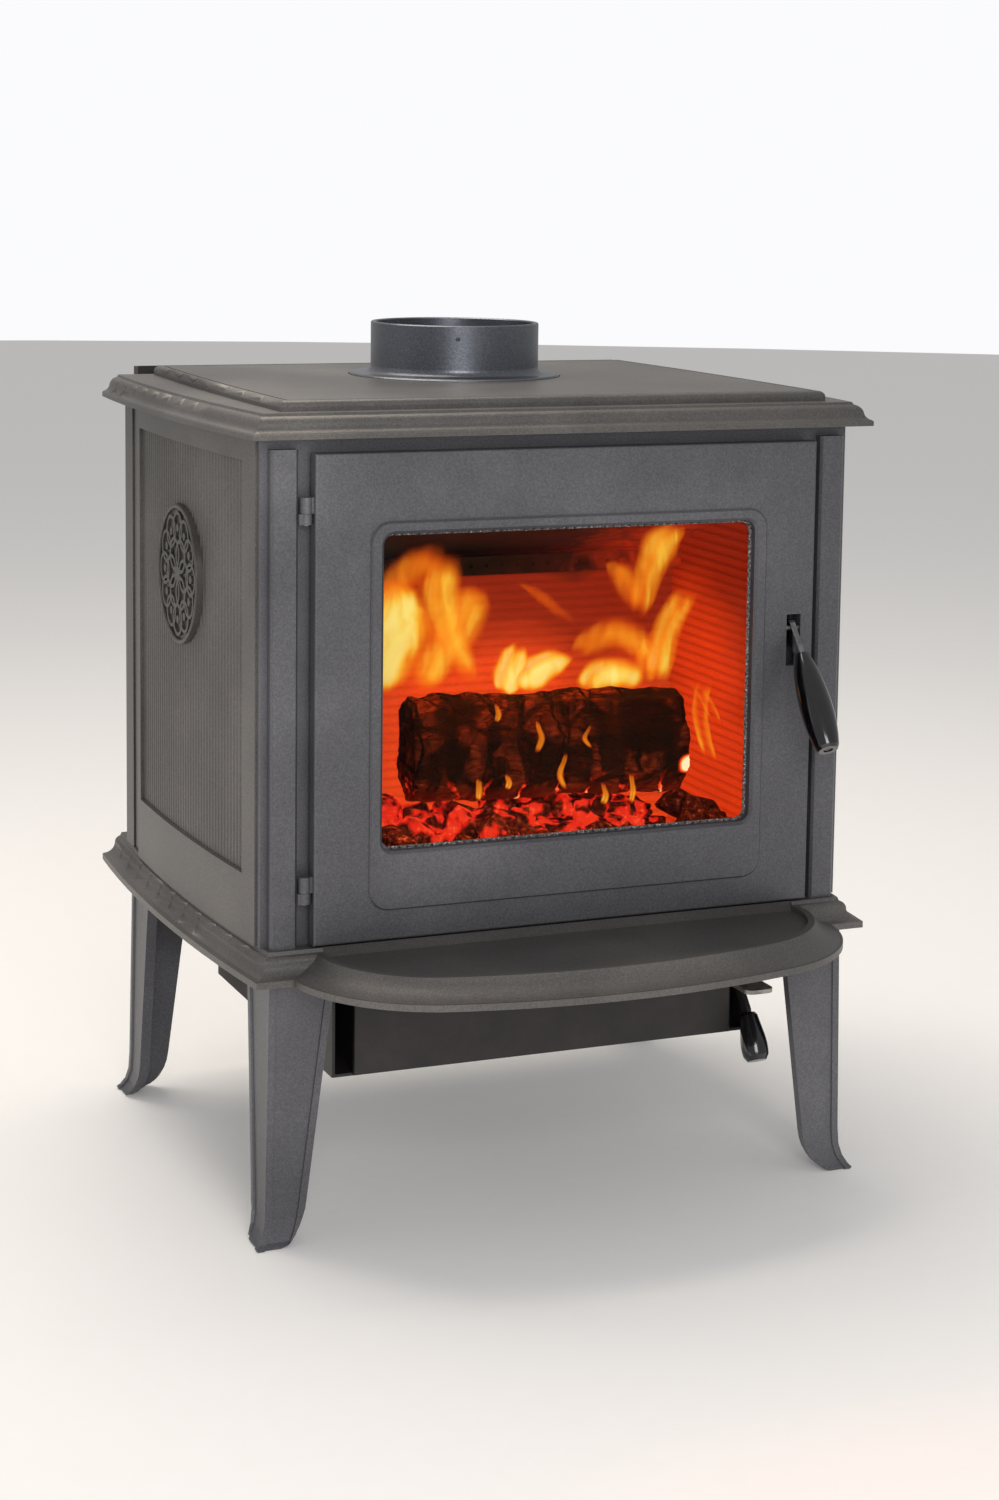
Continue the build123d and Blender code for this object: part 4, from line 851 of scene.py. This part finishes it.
class STOVE_OT_ember_bed(bpy.types.Operator):
    """Model the bed of embers and the loose coals on it"""
    bl_idname = "stove.ember_bed"
    bl_label = "Embers"

    def lump(self, seed):
        """Model one angular coal about a unit wide and return its points and faces."""
        clear_selection()
        bpy.ops.mesh.primitive_cube_add(size=1.0)
        piece = start_piece("Lump")
        bpy.ops.object.mode_set(mode="EDIT")
        bpy.ops.mesh.select_all(action="SELECT")
        bpy.ops.mesh.subdivide(number_cuts=1)
        bpy.ops.transform.vertex_random(offset=0.16, seed=seed)
        bpy.ops.mesh.bevel(offset=0.09, segments=1, affect="EDGES")
        bpy.ops.object.mode_set(mode="OBJECT")
        points = [v.co.copy() for v in piece.data.vertices]
        faces = [list(face.vertices) for face in piece.data.polygons]
        bpy.data.objects.remove(piece)
        return points, faces

    def heap(self, name, lumps, spots, rng):
        """Copy the lumps to their spots, each with its own size and turn, as one piece."""
        points, faces = [], []
        for spot, size in spots:
            shape, sides = lumps[rng.randrange(len(lumps))]
            turn = Matrix.Rotation(rng.uniform(0, 6.28), 3, Vector((rng.random(), rng.random(), 1.0)))
            stretch = Vector((rng.uniform(0.8, 1.3), rng.uniform(0.7, 1.0), rng.uniform(0.55, 0.8)))
            offset = len(points)
            for point in shape:
                points.append(Vector(spot) + turn @ Vector(
                    (point.x * stretch.x * size, point.y * stretch.y * size, point.z * stretch.z * size)))
            faces += [[offset + index for index in side] for side in sides]
        return mesh_piece(name, points, faces)

    def execute(self, context):
        settings = context.scene.stove_fire
        rng = random.Random(21)
        low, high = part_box("ember_bed")
        centre_x, centre_y = (low.x + high.x) / 2, (low.y + high.y) / 2
        half_x, half_y = 0.240, 0.120
        rim_z, crown_height, bottom_z, lowest_z = 0.293, 0.064, 0.2905, 0.2903

        def crown(x, y):
            across = min(abs((x - centre_x) / half_x), 1.0)
            deep = min(abs((y - centre_y) / half_y), 1.0)
            return rim_z + crown_height * (1 - across ** 4) * (1 - deep ** 3)

        clear_selection()
        bpy.ops.mesh.primitive_grid_add(x_subdivisions=96, y_subdivisions=48, size=1.0)
        bed = start_piece("Ember_Bed")
        bed.scale = (2 * half_x, 2 * half_y, 1.0)
        bed.location = (centre_x, centre_y, 0.0)
        bpy.ops.object.transform_apply(location=True, rotation=True, scale=True)
        for vertex in bed.data.vertices:
            vertex.co.z = crown(vertex.co.x, vertex.co.y)
        bpy.ops.object.mode_set(mode="EDIT")
        bpy.ops.mesh.select_all(action="SELECT")
        # the copy of the grid that this leaves selected becomes the flat bottom
        bpy.ops.mesh.extrude_region_move(TRANSFORM_OT_translate={"value": (0, 0, 0.0)})
        bpy.ops.object.mode_set(mode="OBJECT")
        for vertex in bed.data.vertices:
            if vertex.select:
                vertex.co.z = bottom_z
        bpy.ops.object.mode_set(mode="EDIT")
        bpy.ops.mesh.select_all(action="SELECT")
        bpy.ops.mesh.normals_make_consistent(inside=False)
        bpy.ops.object.mode_set(mode="OBJECT")
        roughen(bed, "CLOUDS", 0.03, 9 * MM, noise_depth=2)
        roughen(bed, "VORONOI", 0.022, 6 * MM, weight_1=1.0)
        for vertex in bed.data.vertices:
            vertex.co.z = max(vertex.co.z, lowest_z)
        select_only(bed)
        bpy.ops.object.shade_smooth_by_angle(angle=math.radians(35))
        settle(bed, charcoal("Glowing_Ember_Bed", 0.4, 0.24, 1.0), "stove")
        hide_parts("ember_bed")

        lumps = [self.lump(seed) for seed in (3, 5, 8, 13, 21)]
        hot_spots, ashy_spots = [], []
        log_underside_z = 0.362
        for _ in range(settings.coal_count):
            x = rng.uniform(-0.225, 0.228)
            y = rng.uniform(-0.118, 0.095)
            size = settings.coal_size * rng.uniform(0.6, 1.35)
            z = crown(x, y) + rng.uniform(-0.3, 0.45) * size
            under_log = -0.12 < x < 0.2 and abs(y + 0.03) < 0.05
            if under_log:
                z = min(z, log_underside_z)
            if y < -0.062 and rng.random() < 0.62:
                ashy_spots.append(((x, y, z), size * 1.15))
            else:
                hot_spots.append(((x, y, z), size))
        # the large ash-crusted chunks along the front: x, y, z and width in metres
        for x, y, z, size in ((-0.178, -0.104, 0.330, 0.047), (-0.150, -0.112, 0.318, 0.036),
                              (-0.120, -0.108, 0.322, 0.030), (-0.085, -0.110, 0.330, 0.034),
                              (-0.048, -0.106, 0.334, 0.046), (-0.020, -0.110, 0.330, 0.034),
                              (0.058, -0.104, 0.334, 0.032), (0.182, -0.100, 0.334, 0.040),
                              (0.208, -0.094, 0.338, 0.044), (0.150, -0.100, 0.330, 0.030),
                              (0.222, -0.060, 0.340, 0.040), (-0.214, -0.080, 0.332, 0.038),
                              (0.212, -0.082, 0.352, 0.038), (0.228, -0.030, 0.348, 0.040),
                              (0.196, -0.070, 0.350, 0.036), (0.226, 0.010, 0.350, 0.042),
                              (0.232, -0.094, 0.336, 0.034)):
            ashy_spots.append(((x, y, z), size))
        hot = self.heap("Glowing_Coals", lumps, hot_spots, rng)
        settle(hot, charcoal("Glowing_Charcoal", 0.2, 0.24, 1.0), "stove")
        ashy = self.heap("Ash_Crusted_Coals", lumps, ashy_spots, rng)
        settle(ashy, charcoal("Ash_Crusted_Charcoal", 0.9, 0.0, 0.7), "stove")
        return {"FINISHED"}


class STOVE_OT_flames(bpy.types.Operator):
    """Model the flames that rise behind and over the log"""
    bl_idname = "stove.flames"
    bl_label = "Flames"

    # spines in millimetres, from root to tip: x, z and half width of each station; then the y of
    # the flame's own plane, and the warmth at root and tip
    spines = (
        (((-170, 486, 14), (-160, 525, 26), (-152, 566, 34), (-160, 605, 20), (-172, 622, 4)), 6, 0.9, 0.8),
        (((-134, 494, 10), (-123, 530, 26), (-112, 566, 36), (-100, 592, 24), (-86, 604, 4)), 2, 1.1, 1.0),
        (((-86, 490, 10), (-66, 526, 17), (-42, 556, 19), (-24, 588, 17), (-12, 606, 3)), 8, 0.75, 0.75),
        (((-24, 492, 5), (-42, 534, 12), (-60, 572, 19), (-64, 600, 19), (-58, 622, 15), (-46, 644, 4)),
         0, 0.7, 0.75),
        (((-122, 588, 5), (-108, 612, 13), (-84, 628, 14), (-58, 630, 7)), 10, 0.55, 0.5),
        (((-96, 592, 6), (-84, 616, 14), (-70, 634, 12), (-58, 652, 3)), 14, 0.35, 0.25),
        (((4, 488, 6), (12, 508, 15), (18, 526, 12), (27, 546, 2)), -4, 1.15, 0.9),
        (((10, 500, 7), (38, 510, 15), (60, 521, 12), (84, 528, 2)), -8, 1.2, 0.8),
        (((94, 488, 8), (120, 504, 15), (146, 502, 15), (164, 492, 6)), -4, 1.0, 0.9),
        (((86, 522, 3), (114, 540, 13), (146, 544, 16), (170, 526, 13), (178, 496, 5)), 4, 0.55, 0.6),
        (((184, 486, 9), (190, 522, 12), (198, 552, 12), (212, 576, 11), (230, 592, 3)), 0, 0.85, 0.6),
        (((172, 488, 8), (176, 512, 9), (186, 534, 8), (196, 552, 3)), 6, 0.6, 0.4),
        (((160, 558, 3), (168, 586, 10), (176, 614, 13), (188, 638, 17), (204, 654, 9), (212, 664, 2)),
         2, 0.6, 0.75),
        (((130, 622, 4), (146, 608, 11), (158, 588, 10), (166, 562, 3)), 8, 0.5, 0.45),
        (((30, 604, 2), (52, 590, 5), (74, 572, 5), (90, 558, 2)), 12, 0.4, 0.3),
        (((240, 404, 3), (226, 444, 4), (224, 478, 4), (232, 500, 2)), -30, 0.7, 0.4),
        (((243, 450, 2), (230, 474, 3), (214, 494, 2)), -30, 0.6, 0.35),
    )
    # small flames on the front of the log, in millimetres: x, z of the foot, height, half width, lean
    licks = (
        (-38, 478, 20, 4, 3), (7, 443, 36, 4.5, 6), (69, 444, 28, 4.5, -8), (41, 402, 42, 5.5, -7),
        (-56, 398, 24, 5, 1), (82, 384, 24, 4.5, 4), (114, 382, 34, 4.5, 3), (-25, 408, 15, 3.5, 3),
    )
    lick_plane_y = -93
    lick_depth = 6 * MM
    lick_warmth = (0.75, 0.45)
    # half widths are widened or narrowed by these shares
    flame_spread = 1.5
    lick_spread = 0.8

    def ribbon(self, name, stations, plane_y, depth, root_warmth, tip_warmth, spread):
        """Model one tongue of flame as a flattened tube along a smooth spine: a ball whose rings
        are moved on to the spine."""
        clear_selection()
        bpy.ops.mesh.primitive_uv_sphere_add(segments=24, ring_count=40, radius=1.0)
        piece = start_piece(name)
        points = [Vector((x, 0, z)) * MM for x, z, _ in stations]
        widths = [width * spread * MM for _, _, width in stations]
        thickness, warmth = [], []
        for vertex in piece.data.vertices:
            share = math.acos(max(min(-vertex.co.z, 1.0), -1.0)) / math.pi
            ring = max(math.hypot(vertex.co.x, vertex.co.y), 1e-6)
            sideways, front = vertex.co.x / ring, vertex.co.y / ring
            spot, along, width = self.on_spine(points, widths, share)
            across = Vector((along.z, 0, -along.x))
            ends = smoothstep(0.0, 0.18, share) * smoothstep(1.0, 0.72, share)
            thickness.append(abs(front) ** 3 * ends)
            warmth.append(root_warmth + (tip_warmth - root_warmth) * share)
            round_off = math.sqrt(max(1 - (2 * share - 1) ** 8, 0.0))
            side = sideways * width * round_off
            forward = plane_y * MM + front * depth * round_off / 2
            vertex.co = spot + across * side + Vector((0, forward, 0))
        store(piece, "thickness", thickness)
        store(piece, "warmth", warmth)
        roughen(piece, "CLOUDS", 0.02, 4 * MM, stretch=(1, 1, 1.6), noise_depth=1)
        select_only(piece)
        bpy.ops.object.shade_smooth()
        return piece

    def on_spine(self, points, widths, share):
        """Return place, direction and half width at a share of a smooth curve through points."""
        spans = len(points) - 1
        index = min(int(share * spans), spans - 1)
        t = share * spans - index
        before, start = points[max(index - 1, 0)], points[index]
        end, after = points[index + 1], points[min(index + 2, spans)]
        leave, arrive = (end - before) / 2, (after - start) / 2
        spot = ((2 * t ** 3 - 3 * t ** 2 + 1) * start + (t ** 3 - 2 * t ** 2 + t) * leave
                + (3 * t ** 2 - 2 * t ** 3) * end + (t ** 3 - t ** 2) * arrive)
        along = ((6 * t ** 2 - 6 * t) * start + (3 * t ** 2 - 4 * t + 1) * leave
                 + (6 * t - 6 * t ** 2) * end + (3 * t ** 2 - 2 * t) * arrive).normalized()
        ease = t * t * (3 - 2 * t)
        return spot, along, widths[index] * (1 - ease) + widths[index + 1] * ease

    def execute(self, context):
        depth = context.scene.stove_fire.flame_depth
        gas = wood_flame()
        gas.cycles.emission_sampling = "NONE"
        for index, (stations, plane_y, root_warmth, tip_warmth) in enumerate(self.spines):
            piece = self.ribbon(f"Flame_{index + 1:02d}", stations, plane_y, depth, root_warmth, tip_warmth,
                                self.flame_spread)
            settle(piece, gas, "stove")
        for index, (x, z, height, half_width, lean) in enumerate(self.licks):
            stations = ((x, z, half_width * 0.7), (x + lean, z + height * 0.4, half_width),
                        (x + lean * 0.4, z + height * 0.75, half_width * 0.6), (x, z + height, 0.6))
            piece = self.ribbon(f"Flame_Lick_{index + 1:02d}", stations, self.lick_plane_y,
                                self.lick_depth, *self.lick_warmth, self.lick_spread)
            settle(piece, gas, "stove")
        return {"FINISHED"}


class STOVE_PT_panel(bpy.types.Panel):
    """Buttons and settings of the stove"""
    bl_label = "Wood Burning Stove"
    bl_idname = "STOVE_PT_panel"
    bl_space_type = "VIEW_3D"
    bl_region_type = "UI"
    bl_category = "Stove"

    def draw(self, context):
        for group in (context.scene.stove_fire, context.scene.stove_finish, context.scene.stove_stage):
            for name in group.__annotations__:
                self.layout.prop(group, name)
        for operator in OPERATORS:
            self.layout.operator(operator.bl_idname)


SETTINGS = (("stove_fire", StoveFireSettings), ("stove_finish", StoveFinishSettings),
            ("stove_stage", StoveStageSettings))
OPERATORS = (STOVE_OT_stage, STOVE_OT_castings, STOVE_OT_sheet_metal, STOVE_OT_hardware,
             STOVE_OT_firebox, STOVE_OT_gasket_beads, STOVE_OT_log, STOVE_OT_ember_bed,
             STOVE_OT_flames)


def register():
    """Register the settings, the operators and the panel."""
    for name, group in SETTINGS:
        bpy.utils.register_class(group)
        setattr(bpy.types.Scene, name, bpy.props.PointerProperty(type=group))
    for operator in OPERATORS:
        bpy.utils.register_class(operator)
    bpy.utils.register_class(STOVE_PT_panel)


def unregister():
    """Take the panel, the operators and the settings away again."""
    bpy.utils.unregister_class(STOVE_PT_panel)
    for operator in reversed(OPERATORS):
        bpy.utils.unregister_class(operator)
    for name, group in reversed(SETTINGS):
        delattr(bpy.types.Scene, name)
        bpy.utils.unregister_class(group)


def main():
    """Build everything in order."""
    register()
    bpy.ops.stove.stage()
    bpy.ops.stove.castings()
    bpy.ops.stove.sheet_metal()
    bpy.ops.stove.hardware()
    bpy.ops.stove.firebox()
    bpy.ops.stove.gasket_beads()
    bpy.ops.stove.log()
    bpy.ops.stove.ember_bed()
    bpy.ops.stove.flames()
    clear_selection()


if __name__ == "__main__":
    main()
